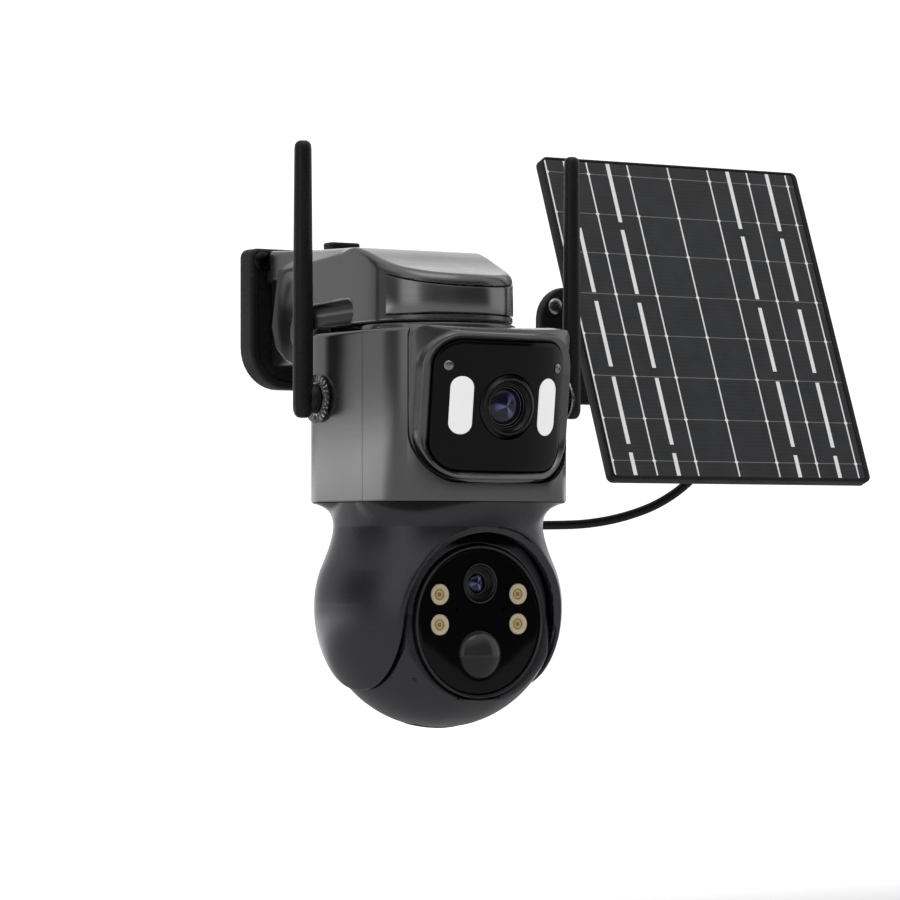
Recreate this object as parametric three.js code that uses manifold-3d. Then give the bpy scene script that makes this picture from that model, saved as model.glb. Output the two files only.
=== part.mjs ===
// Solar-powered security camera: a wall bracket with a fixed upper camera, a pan-and-tilt
// ball camera under it, two antennas, and a solar panel on its own bracket and cable.
// Millimetres. +X is the object's width, -Y its lens side, +Z up; the wall is the plane Y = 0
// and the origin is the middle of the camera's wall plate, on the wall.

import * as THREE from 'three';
import { mergeVertices } from 'three/addons/utils/BufferGeometryUtils.js';
import Module from 'manifold-3d';

const wasm = await Module();
wasm.setup();

// ---------------------------------------------------------------- driving dimensions

const GAP = 0.3; // between pieces that touch
const ROUND = 24; // facets of a full-size round piece
const SMALL_ROUND = 10; // facets of a screw, pin or lamp

const AXIS_Y = -114; // vertical axis of hub, housing and ball
const BALL_Z = -124.5; // ball centre

const PLATE = { half: 28, top: 29.5, bottom: -31, thick: 10, topRadius: 4, bottomRadius: 18 };
const PLATE_SCREWS = [[-23, 24], [23, 24], [0, -25.5]];

const PIVOT = { y: -51, z: -8.4, clear: 17.6 }; // the bracket arm's hinge, and the room round it
const BLOCK = { half: 18.3, nose: 13, bottom: -21.5 };
const LIP = { half: 21.4, bottom: 14, front: -45.5, rearTop: 28.4, frontTop: 26.6 };
const ARM_ROOF_Y = -46;
const CHEEK = { inner: 21.8, outer: 26.3 };
const HINGE_PIN_RADIUS = 4;
const GLAND = { x: 8, y: -27 };

const HUB = { radius: 30.7, bottom: -7.7, flat: 10 };
const BAND = { bottom: -4.6, top: 6.3, depth: 1.6, reach: 76 };
const RING = { radius: 32, top: -8, bottom: -11 };

const BUTTON = { width: 15, length: 8, y: -38.4, bottom: 22.8, top: 30.9, floor: 20.4 };

const HOUSING = { half: 43, rear: -69, front: -159, corner: 21, top: -11.3, bottom: -81, wall: 2.6 };
const SEAM_Y = AXIS_Y - 10;

const WINDOW = {
  y: -166.3, z: -43.1, width: 62.8, height: 52, corner: 11, bend: 62, thick: 2.6, lean: 6.5,
};
const BEZEL = { width: 76.4, height: 61.5, corner: 17, proud: 1.5, back: 13 };
const MAIN_LENS = { radius: 13, glass: 7 };
const LIGHT_BAR = { x: 20.6, width: 9.6, height: 23.2 };
const WINDOW_SCREW = { x: 26.3, z: 15.6 };

const ANTENNA = {
  x: 50.8, y: -23.3, z: -38.3, above: 103, below: 8, radius: 4.1, tip: 3.5, hub: 6.2,
}; // y is ahead of the hub's axis on the +X side, and behind it on the -X side
const TEETH = { count: 14, radius: 10, root: 8.6, inner: 43.3, outer: 45.2 };

const BALL = { yoke: 51, head: 49.1, slot: 38.4, neck: 43, neckTop: -81.3 };
// radius and height down the cove under the housing's corners
const COVE = [[52.8, -81.3], [49.8, -82], [46.8, -83.3], [44.9, -85.2], [43.9, -87.2], [43.6, -88.4]];
const FACE = { front: 30.5, drop: 5, rim: 31.2, wall: 1.6 };
const HEAD_CROWN = 40.2; // radius of the head's hidden top, which turns under the neck
const CARD_Y = 3; // the card cover's place under the ball, behind its centre

const PANEL = {
  x: 154.5, y: -90, z: -0.9, width: 139.5, height: 150.6, corner: 3, thick: 6, lean: 21.1,
};
const PANEL_BASE = { half: 28, top: 19, bottom: -34, thick: 5, corner: 15 };
const PANEL_SCREW = { x: 21, spread: 17.5 };
const SWIVEL_Y = -61; // vertical pin of the panel bracket
const TILT = { y: -74, z: 1 }; // horizontal pin of the panel bracket
const CLIP = { y: -75, z: -9.5 }; // holds the cable under the knuckle
const JUNCTION_Z = -38; // the junction box's height on the panel's back
const EYE = { radius: 8, half: 4.5 }; // the knuckle's eye on the vertical pin
const CABLE_RADIUS = 2;

// ---------------------------------------------------------------- colours

function finish(color, roughness, metalness) {
  return new THREE.MeshStandardMaterial({ color, roughness, metalness });
}

const GUNMETAL = finish(0x6f7072, 0.38, 0.55);
const SLATE = finish(0x55595c, 0.45, 0.35);
const BAND_METAL = finish(0x9a9693, 0.25, 0.9);
const BLACK = finish(0x1b1c1e, 0.45, 0.05);
const RUBBER = finish(0x16171a, 0.75, 0.0);
const GLOSS_BLACK = finish(0x08080a, 0.08, 0.0);
const LENS_GLASS = finish(0x2b2768, 0.05, 0.0);
const DIFFUSER = finish(0xf6f6f4, 0.35, 0.0);
const STEEL = finish(0xb9babc, 0.3, 0.9);
const LAMP = finish(0xe9dcb4, 0.3, 0.0);
const FROSTED = finish(0x8d9496, 0.3, 0.0);
const CELLS = finish(0x20242a, 0.18, 0.1);
const BOARD = finish(0x1d4a31, 0.6, 0.0);
const CELL_WRAP = finish(0x2d4f8e, 0.5, 0.0);

// ---------------------------------------------------------------- solids

// a closed, outward-facing, position-only copy of a geometry
function closed(geometry) {
  let bare = geometry.clone();
  bare.deleteAttribute('normal');
  bare.deleteAttribute('uv');
  bare = mergeVertices(bare, 1e-4);
  const index = bare.index.array;
  const position = bare.attributes.position;
  const corners = [new THREE.Vector3(), new THREE.Vector3(), new THREE.Vector3()];
  const kept = [];
  let volume = 0;
  for (let i = 0; i < index.length; i += 3) {
    const [a, b, c] = [index[i], index[i + 1], index[i + 2]];
    if (a === b || b === c || a === c) continue;
    [a, b, c].forEach((vertex, k) => corners[k].fromBufferAttribute(position, vertex));
    volume += corners[0].dot(corners[1].clone().cross(corners[2]));
    kept.push(a, b, c);
  }
  if (volume < 0) {
    for (let i = 0; i < kept.length; i += 3) {
      [kept[i], kept[i + 1]] = [kept[i + 1], kept[i]];
    }
  }
  bare.setIndex(kept);
  return bare;
}

function toSolid(geometry) {
  const bare = closed(geometry);
  return new wasm.Manifold(new wasm.Mesh({
    numProp: 3,
    vertProperties: new Float32Array(bare.attributes.position.array),
    triVerts: new Uint32Array(bare.index.array),
  }));
}

function toGeometry(solid) {
  const { vertProperties, triVerts, numProp } = solid.getMesh();
  const geometry = new THREE.BufferGeometry();
  const position = [];
  for (let i = 0; i < vertProperties.length; i += numProp) {
    position.push(vertProperties[i], vertProperties[i + 1], vertProperties[i + 2]);
  }
  geometry.setAttribute('position', new THREE.Float32BufferAttribute(position, 3));
  geometry.setIndex(Array.from(triVerts));
  return geometry;
}

function combine(how, first, others) {
  let solid = toSolid(first);
  others.forEach((other) => {
    solid = solid[how](toSolid(other));
  });
  return toGeometry(solid);
}

const join = (first, ...others) => combine('add', first, others);
const cut = (first, ...others) => combine('subtract', first, others);
const common = (first, ...others) => combine('intersect', first, others);

// ---------------------------------------------------------------- basic shapes

const rad = THREE.MathUtils.degToRad;

// a box between two corners
function block(low, high) {
  const size = high.map((value, i) => value - low[i]);
  const middle = high.map((value, i) => (value + low[i]) / 2);
  return new THREE.BoxGeometry(...size).translate(...middle);
}

// a rod along an axis, from one place on that axis to another
function rod(axis, radius, from, to, facets = ROUND) {
  const geometry = new THREE.CylinderGeometry(radius, radius, to - from, facets);
  geometry.translate(0, (from + to) / 2, 0);
  if (axis === 'x') geometry.rotateZ(-Math.PI / 2);
  if (axis === 'z') geometry.rotateX(Math.PI / 2);
  return geometry;
}

// a profile of [radius, height] points, turned round the Z axis
function turned(profile, facets = ROUND) {
  const points = profile.map(([radius, height]) => new THREE.Vector2(radius, height));
  return new THREE.LatheGeometry(points, facets).rotateX(Math.PI / 2);
}

// an outline pushed out along Z, with an optional bevel that keeps its outer size
function extruded(shape, from, to, bevel = 0, curveSegments = 2) {
  const geometry = new THREE.ExtrudeGeometry(shape, {
    depth: to - from - 2 * bevel,
    bevelEnabled: bevel > 0,
    bevelSize: bevel,
    bevelThickness: bevel,
    bevelOffset: -bevel,
    bevelSegments: 1,
    curveSegments,
  });
  return geometry.translate(0, 0, from + bevel);
}

// turns an outline drawn in X and Z so that its depth runs along -Y
function facingFront(geometry) {
  return geometry.rotateX(Math.PI / 2);
}

// turns an outline drawn in Y and Z so that its depth runs along X
function acrossX(geometry) {
  const [x, y, z] = [[1, 0, 0], [0, 1, 0], [0, 0, 1]].map((v) => new THREE.Vector3(...v));
  return geometry.applyMatrix4(new THREE.Matrix4().makeBasis(y, z, x));
}

// a rectangle with its own corner radius at the top and at the bottom
function roundedOutline(left, right, bottom, top, topRadius, bottomRadius = topRadius) {
  const shape = new THREE.Shape();
  const quarter = Math.PI / 2;
  shape.absarc(right - topRadius, top - topRadius, topRadius, 0, quarter);
  shape.absarc(left + topRadius, top - topRadius, topRadius, quarter, 2 * quarter);
  shape.absarc(left + bottomRadius, bottom + bottomRadius, bottomRadius, 2 * quarter, 3 * quarter);
  shape.absarc(right - bottomRadius, bottom + bottomRadius, bottomRadius, 3 * quarter, 4 * quarter);
  shape.closePath();
  return shape;
}

const plate = (width, height, corner) => (
  roundedOutline(-width / 2, width / 2, -height / 2, height / 2, corner)
);

function polygon(points) {
  return new THREE.Shape(points.map(([u, v]) => new THREE.Vector2(u, v)));
}

// a pan-head cross-recess screw; its head stands on Z = 0 and points along +Z
function screw(headRadius, headHeight, shankRadius, shankLength) {
  const body = turned([
    [0, -shankLength],
    [shankRadius, -shankLength],
    [shankRadius, 0],
    [headRadius, 0],
    [headRadius, headHeight * 0.45],
    [headRadius * 0.7, headHeight],
    [0, headHeight],
  ], SMALL_ROUND);
  const reach = headRadius * 0.6;
  const slot = headRadius * 0.13;
  const depth = headHeight * 0.45;
  const one = block([-reach, -slot, depth], [reach, slot, headHeight + 1]);
  const two = block([-slot, -reach, depth], [slot, reach, headHeight + 1]);
  return cut(body, one, two);
}

// ---------------------------------------------------------------- scene

const camera = new THREE.Group();

function part(name, geometry, material, parent = camera) {
  const shown = closed(geometry).toNonIndexed();
  shown.computeVertexNormals();
  const mesh = new THREE.Mesh(shown, material);
  mesh.name = name;
  parent.add(mesh);
  return mesh;
}

function groupAt(x, y, z, parent = camera) {
  const group = new THREE.Group();
  group.position.set(x, y, z);
  parent.add(group);
  return group;
}

// ---------------------------------------------------------------- camera wall bracket

function buildWallBracket() {
  const outline = roundedOutline(
    -PLATE.half, PLATE.half, PLATE.bottom, PLATE.top, PLATE.topRadius, PLATE.bottomRadius,
  );
  const slab = facingFront(extruded(outline, 0, PLATE.thick, 1.2));
  const holes = PLATE_SCREWS.map(([x, z]) => (
    rod('y', 2.4, -PLATE.thick - 1, 1, SMALL_ROUND).translate(x, 0, z)
  ));
  part('wall_plate', cut(slab, ...holes), BLACK);
  PLATE_SCREWS.forEach(([x, z], i) => {
    const fastener = part(`wall_screw_${i + 1}`, screw(4, 2.4, 2, PLATE.thick), STEEL);
    fastener.position.set(x, -PLATE.thick - GAP, z);
    fastener.rotation.x = Math.PI / 2;
  });

  const front = -PLATE.thick - GAP;
  const tongueSide = polygon([
    [front, BLOCK.bottom],
    [front, 18.6],
    [-30, 18.6],
    [PIVOT.y, PIVOT.z + BLOCK.nose],
    [PIVOT.y, PIVOT.z - BLOCK.nose],
  ]);
  const tongue = acrossX(extruded(tongueSide, -BLOCK.half, BLOCK.half));
  const nose = rod('x', BLOCK.nose, -BLOCK.half, BLOCK.half).translate(0, PIVOT.y, PIVOT.z);
  const boss = rod('x', 9, -LIP.half, LIP.half).translate(0, PIVOT.y, PIVOT.z);
  const lipSide = polygon([
    [front, LIP.bottom],
    [front, LIP.rearTop - 1.5],
    [front - 1.5, LIP.rearTop],
    [LIP.front + 2.5, LIP.frontTop],
    [LIP.front, LIP.frontTop - 2.5],
    [LIP.front, LIP.bottom],
  ]);
  const lip = acrossX(extruded(lipSide, -LIP.half, LIP.half));
  const buttonPocket = block(
    [-BUTTON.width / 2 - GAP, BUTTON.y - BUTTON.length / 2 - GAP, BUTTON.floor],
    [BUTTON.width / 2 + GAP, BUTTON.y + BUTTON.length / 2 + GAP, 40],
  );
  const pinHole = rod('x', HINGE_PIN_RADIUS + GAP, -40, 40).translate(0, PIVOT.y, PIVOT.z);
  const headRoom = PLATE_SCREWS.map(([x, z]) => rod('y', 4.6, -13.4, 0, 16).translate(x, 0, z));
  const solidBlock = join(tongue, nose, boss, lip);
  part('pivot_block', cut(solidBlock, pinHole, buttonPocket, ...headRoom), GUNMETAL);
  const button = extruded(plate(BUTTON.width, BUTTON.length, 2), BUTTON.bottom, BUTTON.top, 0.8, 1);
  part('fold_lock_button', button.translate(0, BUTTON.y, 0), BLACK);

  const bolt = groupAt(0, PIVOT.y, PIVOT.z);
  const capInner = CHEEK.outer + GAP;
  const cap = rod('x', 8, -capInner - 2.4, -capInner);
  const shank = rod('x', HINGE_PIN_RADIUS, -capInner - 1, capInner - GAP, SMALL_ROUND);
  part('hinge_bolt', join(cap, shank), GUNMETAL, bolt);
  part('hinge_cap', rod('x', 8, capInner, capInner + 2.4), GUNMETAL, bolt);

  const gland = turned([
    [0, 0], [6, 0], [6, -5], [4.6, -6], [4.2, -9], [2.7, -15], [0, -15],
  ], 24);
  const glandMesh = part('cable_gland', gland, RUBBER);
  glandMesh.position.set(GLAND.x, GLAND.y, BLOCK.bottom - GAP);
}

// ---------------------------------------------------------------- bracket arm and hub

function armPlan() {
  const tangent = HUB.radius;
  const shape = new THREE.Shape();
  shape.moveTo(CHEEK.outer, -15);
  shape.lineTo(-CHEEK.outer, -15);
  shape.lineTo(-tangent, AXIS_Y);
  shape.absarc(0, AXIS_Y, tangent, Math.PI, 2 * Math.PI);
  shape.lineTo(CHEEK.outer, -15);
  return shape;
}

function armSide() {
  return polygon([
    [-31.6, 21.3], [-40.6, 25.3], [ARM_ROOF_Y, 26.6], [-92, 24.3], [-108, 23.6], [-126, 17.4],
    [-150, 7.6], [-150, HUB.bottom], [-66, HUB.bottom], [-62, -15], [-57, -21], [-51, -24],
    [-38.7, -20.5], [-29.1, -14.7], [-25, -5.3],
  ]);
}

function buildArm() {
  const plan = extruded(armPlan(), -40, 40, 0, 8);
  const side = acrossX(extruded(armSide(), -40, 40));
  const section = facingFront(extruded(polygon([
    [-35, -40], [-27.4, -4.6], [-32, 1.4], [-32, 16], [-19, 29],
    [19, 29], [32, 16], [32, 1.4], [27.4, -4.6], [35, -40],
  ]), 0, 160));
  const crown = turned([
    [0, -50], [60, -50], [60, 30], [HUB.radius + 0.2, HUB.flat], [25.5, 15.4], [15.6, 21.2],
    [12, 30], [0, 30],
  ]).translate(0, AXIS_Y, 0);
  const rearward = block([-40, -98, -40], [40, 0, 40]);
  let arm = common(plan, side, section, join(crown, rearward));

  const cavity = join(
    rod('x', PIVOT.clear, -CHEEK.inner, CHEEK.inner).translate(0, PIVOT.y, PIVOT.z),
    block([-CHEEK.inner, PIVOT.y, -40], [CHEEK.inner, 0, PIVOT.z + PIVOT.clear]),
    block([-CHEEK.inner, ARM_ROOF_Y, 5], [CHEEK.inner, 0, 40]),
  );
  const pinHole = rod('x', HINGE_PIN_RADIUS + GAP, -40, 40).translate(0, PIVOT.y, PIVOT.z);
  const capSeats = [[-40, -CHEEK.outer], [CHEEK.outer, 40]].map(([from, to]) => (
    rod('x', 8.6, from, to).translate(0, PIVOT.y, PIVOT.z)
  ));
  const pocketOutline = roundedOutline(-20, 20, -138, -72, 14);
  const pocket = extruded(pocketOutline, -20, 13);
  const bandGroove = bandSector(HUB.radius - BAND.depth - GAP, 40, BAND.reach + 0.5, GAP);
  arm = cut(arm, cavity, pinHole, ...capSeats, pocket, bandGroove);
  part('arm_housing', arm, GUNMETAL);

  const coverOutline = roundedOutline(-20 + GAP, 20 - GAP, -138 + GAP, -72 - GAP, 14 - GAP);
  const cover = extruded(coverOutline, HUB.bottom, HUB.bottom + 2.4);
  part('arm_bottom_cover', cover, BLACK);

  const band = bandSector(HUB.radius - BAND.depth, HUB.radius + 0.2, BAND.reach, 0);
  part('hub_trim_band', band, BAND_METAL);

  const rim = turned([
    [8, RING.bottom], [RING.radius, RING.bottom], [RING.radius, RING.top - 0.8],
    [RING.radius - 0.8, RING.top], [8, RING.top], [8, RING.bottom],
  ]).translate(0, AXIS_Y, 0);
  part('hub_ring', rim, GUNMETAL);
}

// a curved strip round the front of the hub
function bandSector(inner, outer, reach, grow) {
  const shape = new THREE.Shape();
  const middle = -Math.PI / 2;
  shape.absarc(0, 0, outer, middle - rad(reach), middle + rad(reach), false);
  shape.absarc(0, 0, inner, middle + rad(reach), middle - rad(reach), true);
  shape.closePath();
  const strip = extruded(shape, BAND.bottom - grow, BAND.top + grow, 0, 8);
  return strip.translate(0, AXIS_Y, 0);
}

// ---------------------------------------------------------------- upper housing

function housingPlan(inset) {
  return roundedOutline(
    -HOUSING.half + inset, HOUSING.half - inset,
    HOUSING.front + inset, HOUSING.rear - inset, HOUSING.corner - inset,
  );
}

// the bezel's outer envelope, in the window's own frame
function bezelEnvelope(grow) {
  const outline = plate(BEZEL.width + 2 * grow, BEZEL.height + 2 * grow, BEZEL.corner + grow);
  return facingFront(extruded(outline, -BEZEL.back - grow, 14));
}

// the space between two bent surfaces, in the window's own frame
function bentSheet(front, back) {
  const centre = WINDOW.bend;
  const outer = rod('z', WINDOW.bend + front, -50, 50, 48);
  const inner = rod('z', WINDOW.bend - back, -60, 60, 48);
  return cut(outer, inner).translate(0, centre, 0);
}

function atWindow(geometry) {
  return geometry.rotateX(rad(WINDOW.lean)).translate(0, WINDOW.y, WINDOW.z);
}

function buildHousing() {
  const body = extruded(housingPlan(0), HOUSING.bottom, HOUSING.top, 1.2, 3);
  const hollow = extruded(
    housingPlan(HOUSING.wall), HOUSING.bottom - 5, HOUSING.top - HOUSING.wall, 0, 3,
  );
  const cableHole = rod('z', 8, -30, 0).translate(0, AXIS_Y, 0);
  const ports = [-1, 1].map((side) => (
    rod('x', 5.5, Math.min(0, side * 60), Math.max(0, side * 60))
      .translate(0, AXIS_Y + side * ANTENNA.y, ANTENNA.z)
  ));
  const shell = cut(body, hollow, cableHole, ...ports);
  const behind = block([-60, SEAM_Y + GAP / 2, -120], [60, 0, 20]);
  const ahead = block([-60, -200, -120], [60, SEAM_Y - GAP / 2, 20]);
  part('rear_housing', common(shell, behind), GUNMETAL);
  part('front_housing', cut(common(shell, ahead), atWindow(bezelEnvelope(GAP))), GUNMETAL);

  // the base closes the housing and has a cove under each corner, round the ball's neck
  const bottom = BALL.neckTop;
  const floor = extruded(housingPlan(HOUSING.wall + GAP), bottom, HOUSING.bottom + 2.4, 0, 3);
  const corners = extruded(housingPlan(GAP), COVE[COVE.length - 1][1], bottom, 0, 4);
  const sweep = turned(
    [[0, bottom + 1], [COVE[0][0], bottom + 1], ...COVE, [0, COVE[COVE.length - 1][1]]], 48,
  ).translate(0, AXIS_Y, 0);
  const neckRoom = rod('z', BALL.neck + GAP, -100, bottom, 48).translate(0, AXIS_Y, 0);
  const coves = cut(common(corners, sweep), neckRoom);
  const spindleRoom = rod('z', 17, -90, -70).translate(0, AXIS_Y, 0);
  part('housing_base', cut(join(floor, coves), spindleRoom), SLATE);

  const circuit = block([-31, -76.5, -72], [31, -74.9, -20]);
  part('main_circuit_board', circuit, BOARD);
  const cell = rod('x', 9.2, -32.5, 32.5, 24);
  part('battery_cell', cell.translate(0, -89, -30), CELL_WRAP);
  const motor = join(
    rod('z', 10, -76, -60, 24),
    rod('z', 2.5, -78, -60, 12),
  ).translate(26, AXIS_Y + 20, 0);
  part('pan_motor', motor, STEEL);
}

function buildFrontWindow() {
  const front = groupAt(0, WINDOW.y, WINDOW.z);
  front.rotation.x = rad(WINDOW.lean);

  const opening = facingFront(extruded(
    plate(WINDOW.width + 2 * GAP, WINDOW.height + 2 * GAP, WINDOW.corner + GAP), -30, 30,
  ));
  const hood = rod('z', WINDOW.bend + BEZEL.proud, -50, 50, 96).translate(0, WINDOW.bend, 0);
  part('front_bezel', cut(common(bezelEnvelope(0), hood), opening), GUNMETAL, front);

  const sheet = bentSheet(0, WINDOW.thick);
  const bar = (grow) => facingFront(extruded(
    plate(LIGHT_BAR.width + 2 * grow, LIGHT_BAR.height + 2 * grow, LIGHT_BAR.width / 2 + grow - 0.01),
    -20, 20, 0, 3,
  ));
  const screwTurn = Math.asin(WINDOW_SCREW.x / WINDOW.bend);
  const holes = [rod('y', MAIN_LENS.radius + GAP, -20, 20)];
  [-1, 1].forEach((side) => {
    holes.push(bar(GAP).translate(side * LIGHT_BAR.x, 0, 0));
    holes.push(rod('y', 1.5, -6, 6, SMALL_ROUND).translate(0, -WINDOW.bend, WINDOW_SCREW.z)
      .rotateZ(side * screwTurn).translate(0, WINDOW.bend, 0));
  });
  const pane = common(facingFront(extruded(
    plate(WINDOW.width, WINDOW.height, WINDOW.corner), -20, 20, 0, 3,
  )), sheet);
  part('front_window', cut(pane, ...holes), GLOSS_BLACK, front);

  const bulge = bentSheet(0.3, WINDOW.thick + 1);
  [['left', -1], ['right', 1]].forEach(([name, side]) => {
    const lamp = common(bar(0).translate(side * LIGHT_BAR.x, 0, 0), bulge);
    part(`light_bar_${name}`, lamp, DIFFUSER, front);
    const seat = groupAt(0, WINDOW.bend, 0, front);
    seat.rotation.z = side * screwTurn;
    const fastener = part(`window_screw_${name}`, screw(1.9, 0.9, 1.1, 5), STEEL, seat);
    fastener.position.set(0, -WINDOW.bend - GAP / 2, WINDOW_SCREW.z);
    fastener.rotation.x = Math.PI / 2;
  });

  const barrel = turned([
    [0, -14], [10, -14], [10, -4], [MAIN_LENS.radius, -4], [MAIN_LENS.radius, 1.2],
    [MAIN_LENS.radius - 1, 1.2], [9.6, -0.6], [9.6, -2], [MAIN_LENS.glass + GAP, -2.6],
    [MAIN_LENS.glass + GAP, -8], [0, -8],
  ], 20).rotateX(Math.PI / 2);
  part('main_lens_barrel', barrel, BLACK, front);
  const glass = turned([
    [0, -7.5], [MAIN_LENS.glass, -7.5], [MAIN_LENS.glass, -3.4], [5.6, -2.2], [3, -1.4], [0, -1.1],
  ], 20).rotateX(Math.PI / 2);
  part('main_lens_glass', glass, LENS_GLASS, front);
}

// ---------------------------------------------------------------- antennas

function toothedOutline() {
  const points = [];
  for (let tooth = 0; tooth < TEETH.count; tooth += 1) {
    const steps = [[0, TEETH.root], [0.25, TEETH.radius], [0.55, TEETH.radius], [0.8, TEETH.root]];
    steps.forEach(([share, radius]) => {
      const angle = (2 * Math.PI * (tooth + share)) / TEETH.count;
      points.push([radius * Math.cos(angle), radius * Math.sin(angle)]);
    });
  }
  return polygon(points);
}

function buildAntenna(name, side) {
  const place = groupAt(0, AXIS_Y, ANTENNA.z);
  const hubOuter = ANTENNA.x - ANTENNA.radius - GAP;

  // drawn on the +X side and turned half round for the other side
  place.rotation.z = side < 0 ? Math.PI : 0;
  const teeth = acrossX(extruded(toothedOutline(), TEETH.inner, TEETH.outer));
  const spigot = rod('x', 5.2, 38, TEETH.outer - 0.5);
  const mount = join(teeth, spigot).translate(0, ANTENNA.y, 0);
  part(`antenna_mount_${name}`, mount, STEEL, place);

  const stick = turned([
    [0, -ANTENNA.below], [2.2, -ANTENNA.below + 0.5], [ANTENNA.radius - 0.5, -ANTENNA.below + 2],
    [ANTENNA.radius, -ANTENNA.below + 4], [ANTENNA.radius, 30], [ANTENNA.tip, ANTENNA.above - 3],
    [ANTENNA.tip - 0.7, ANTENNA.above - 1.2], [1.6, ANTENNA.above - 0.2], [0, ANTENNA.above],
  ], 14).translate(ANTENNA.x, 0, 0);
  const knuckle = rod('x', ANTENNA.hub, TEETH.outer + GAP, hubOuter + 1.5);
  part(`antenna_${name}`, join(stick, knuckle).translate(0, ANTENNA.y, 0), BLACK, place);
}

// ---------------------------------------------------------------- pan yoke

function sphere(radius) {
  const steps = 16;
  const profile = [];
  for (let i = 0; i <= steps; i += 1) {
    const angle = -Math.PI / 2 + (Math.PI * i) / steps;
    profile.push([i % steps ? radius * Math.cos(angle) : 0, radius * Math.sin(angle)]);
  }
  return turned(profile, 36);
}

function slab(half) {
  return block([-half, -80, -80], [half, 80, 80]);
}

// the round-topped opening that the ball's face looks out of, pushed out along -Y
function tunnel(half, from, to) {
  const shape = new THREE.Shape();
  shape.absarc(0, -FACE.drop, half, 0, Math.PI);
  shape.lineTo(-half, -80);
  shape.lineTo(half, -80);
  shape.closePath();
  return facingFront(extruded(shape, from, to, 0, 6));
}

function buildYoke() {
  const yoke = groupAt(0, AXIS_Y, BALL_Z);
  const top = BALL.neckTop - GAP - BALL_Z;
  const steps = 8;
  const ballTop = Math.asin(22 / BALL.yoke);
  const profile = [[0, top], [BALL.neck - 0.6, top], [BALL.neck, top - 0.6],
    [BALL.neck, top - 8.5], [BALL.neck + 1.2, top - 14], [45.6, top - 17.6]];
  for (let i = 0; i <= steps; i += 1) {
    const angle = ballTop - ((ballTop + Math.PI / 2) * i) / steps;
    profile.push([i < steps ? BALL.yoke * Math.cos(angle) : 0, BALL.yoke * Math.sin(angle)]);
  }
  const outer = turned(profile, 36);
  const belowSpindle = block([-60, -60, -60], [60, 60, 40.8]);
  const cavity = common(sphere(BALL.head + 1), slab(BALL.slot), belowSpindle);
  const mouth = tunnel(BALL.slot, 0, 60);
  const belly = block([-BALL.slot, -1, -60], [BALL.slot, 60, -22]);
  const wires = rod('z', 6, 30, 60);
  const pockets = [];
  [-1, 1].forEach((side) => {
    const [near, far] = [side * (BALL.slot - 1), side * 44];
    pockets.push(rod('x', 21, Math.min(near, far), Math.max(near, far)));
  });
  const spindle = rod('z', 16.5, top - 1, 50.8);
  const shell = cut(join(outer, spindle), cavity, mouth, belly, wires, ...pockets);
  part('yoke_shell', shell, SLATE, yoke);

  const gearPoints = [];
  const teeth = 16;
  for (let i = 0; i < teeth; i += 1) {
    [[0, 21], [0.3, 22.6], [0.55, 22.6], [0.85, 21]].forEach(([share, radius]) => {
      const angle = (2 * Math.PI * (i + share)) / teeth;
      gearPoints.push([radius * Math.cos(angle), radius * Math.sin(angle)]);
    });
  }
  const gear = cut(extruded(polygon(gearPoints), 46.8, 50.6), rod('z', 16.5 + GAP, 40, 60));
  part('pan_ring_gear', gear, BLACK, yoke);

  [['left', -1], ['right', 1]].forEach(([name, side]) => {
    const cover = rod('x', 20.6, BALL.slot + 0.1, BALL.slot + 1.5);
    const shaft = rod('x', 5, BALL.slot - 6, BALL.slot + 1, 24);
    const piece = join(cover, shaft);
    if (side < 0) piece.rotateZ(Math.PI);
    part(`ear_cover_${name}`, piece, BLACK, yoke);
  });
  part('tilt_motor', rod('x', 14, -43.6, -BALL.slot - 1.9, 28), STEEL, yoke);
}

// ---------------------------------------------------------------- tilting ball head

function headSide() {
  const shape = new THREE.Shape();
  const rimTop = FACE.rim - FACE.drop;
  const rimBottom = -FACE.rim - FACE.drop;
  const crownAngle = Math.atan2(rimTop, -FACE.front);
  const ballStart = rad(-42);
  const ballEnd = Math.atan2(rimBottom, -FACE.front) - rad(2.5);
  shape.moveTo(-FACE.front, rimBottom);
  shape.lineTo(-FACE.front, rimTop);
  shape.absarc(0, 0, HEAD_CROWN, crownAngle, ballStart, true);
  shape.absarc(0, 0, BALL.head, ballStart, ballEnd, true);
  shape.closePath();
  return shape;
}

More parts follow.
